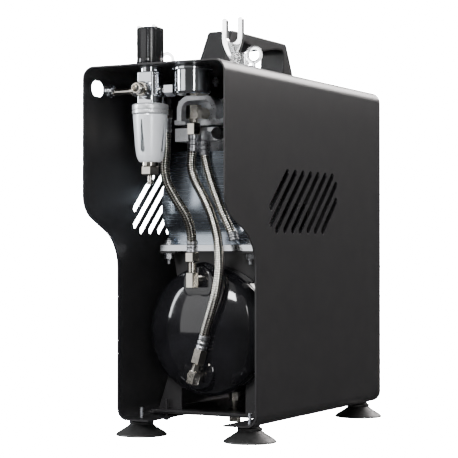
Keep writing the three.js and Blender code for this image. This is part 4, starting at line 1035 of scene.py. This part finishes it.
def make_hoses():
    """The three braided hoses, each with its sleeves and nuts."""
    outlet = braided(Build(), OUTLET_ROUTE, 4.8)
    outlet.bar(6.9, (-17, 54, 299.7), (-17, 54, 290), 6, 0.8, slot=2)
    ferrule(outlet, (-17, 54, 291), (-17, 54, 277), 5.5)
    ferrule(outlet, (0, 75, 174), (0, 75, 162), 5.5)
    outlet.bar(7.2, (0, 75, 162.5), (0, 75, 152.8), 6, 0.8, slot=2)
    place(outlet.object("outlet_hose_braid", [BRAID, STEEL, NICKEL]), "machine", "steel", "hose_outlet")
    feed = braided(Build(), FEED_ROUTE, 4.8)
    feed.bar(7, (-11.5, 98, 289), (-11.5, 98, 277), 6, 0.8, slot=2)
    ferrule(feed, (-11.5, 98, 278), (-11.9, 98, 261), 5.5)
    ferrule(feed, low_leg(47), low_leg(32), 5.5)
    feed.bar(7.2, low_leg(33), low_leg(18.4), 6, 0.8, slot=2)
    place(feed.object("feed_hose_braid", [BRAID, STEEL, NICKEL]), "machine", "steel", "hose_feed")
    relief = braided(Build(), UNLOADER_ROUTE, 4.3)
    ferrule(relief, (-1, 101.2, 271.6), (-1, 101.2, 257), 5.2)
    ferrule(relief, (32.6, 96, 182), (34.5, 96, 173.5), 5.2)
    place(relief.object("unloader_hose_braid", [BRAID, STEEL, NICKEL]), "machine", "steel", "hose_unloader")


# ---------------------------------------------------------------- pump
def make_cowl():
    """A bell of bright sheet round the front of the pump, squared where it flares at its foot."""
    low, high = span("motor_cowl")
    y, sheet, half = high.y, 1.6, 48
    rows = [(low.z, -52.3, 30.3, 21, 8), (180, -53, 30.3, 21.4, 8), (184, -55.5, 30, 22, 6),
            (189, -60, 28, 24, 4), (194, -63, 25.5, 26.5, 2.8), (202, -65.8, 25.8, 28.8, 2.2),
            (211, -66.7, 28, 29.8, 2.1), (220, -66.4, 30, 29.9, 2), (231, -64.5, 31, 29.9, 2),
            (241, -60.8, 31.8, 29.9, 2), (251, -56, 32.5, 29.9, 2), (high.z, -54.8, 32.8, 29.9, 2)]
    rings = []
    for z, left, right, depth, power in smooth_rows(rows, 5):
        ring = []
        for inset, order in ((0, 1), (sheet, -1)):
            wide = (right - left) / 2 - inset
            for i in range(half + 1)[::order]:
                t = math.pi + math.pi * i / half
                c, d = math.cos(t), math.sin(t)
                ring.append(Vector(((left + right) / 2 + math.copysign(wide * abs(c) ** (2 / power), c),
                                    y - (depth - inset) * abs(d) ** (2 / power), z)))
        rings.append(ring)
    place(Build().rings(rings).object("pump_cowl", [SHEET], 50), "machine", "steel", "motor_cowl")


def smooth_rows(rows, per_span):
    """Rows of numbers with smoothly changing rows put in between them, and nothing past its neighbours."""
    out = []
    last = len(rows) - 1
    for i in range(last):
        before, low, high, after = rows[max(i - 1, 0)], rows[i], rows[i + 1], rows[min(i + 2, last)]
        for k in range(per_span):
            t = k / per_span
            row = [low[0] + (high[0] - low[0]) * t]
            for a, b, c, d in list(zip(before, low, high, after))[1:]:
                row.append(min(max(b, c), max(min(b, c), between(a, b, c, d, t))))
            out.append(row)
    return out + [list(rows[-1])]


def dress_rest():
    """Finishes for the CAD nodes that keep their shape."""
    for node in ("base_plate", "rear_panel", "upper_frame", "tank_saddle_front", "tank_saddle_rear"):
        dress(node, COAT, 0.3)
    for node in ("cylinder_head", "valve_plate"):
        dress(node, CAST, 0.8, 3)
    for node in ("crankcase", "cylinder_barrel", "connecting_rod"):
        dress(node, CAST, 0.4)
    for node in NODES:
        if node.startswith("isolator_bolt") or node.startswith("handle_bolt"):
            dress(node, STEEL, 0.2)
    dress("adjusting_screw", STEEL, 0.2)
    dress("machine_plate", MIRROR, 0.4)
    dress("motor_stator", STEEL, 0.4)
    dress("crankshaft", STEEL, 0.3)
    for node in ("cooling_fan", "intake_silencer", "pressure_switch", "switch_frame", "power_rocker",
                 "power_inlet"):
        dress(node, SATIN, 0.3)


def main():
    make_camera()
    make_studio()
    make_case()
    for node in sorted(NODES):
        if node.startswith("foot_"):
            make_foot(node)
        if node.startswith("airbrush_holder"):
            make_holder(node)
    make_handle()
    make_knob()
    make_lock_ring()
    make_regulator()
    make_outlets()
    make_filter()
    make_gauge()
    make_tank()
    make_fittings()
    make_hoses()
    make_cowl()
    dress_rest()


main()
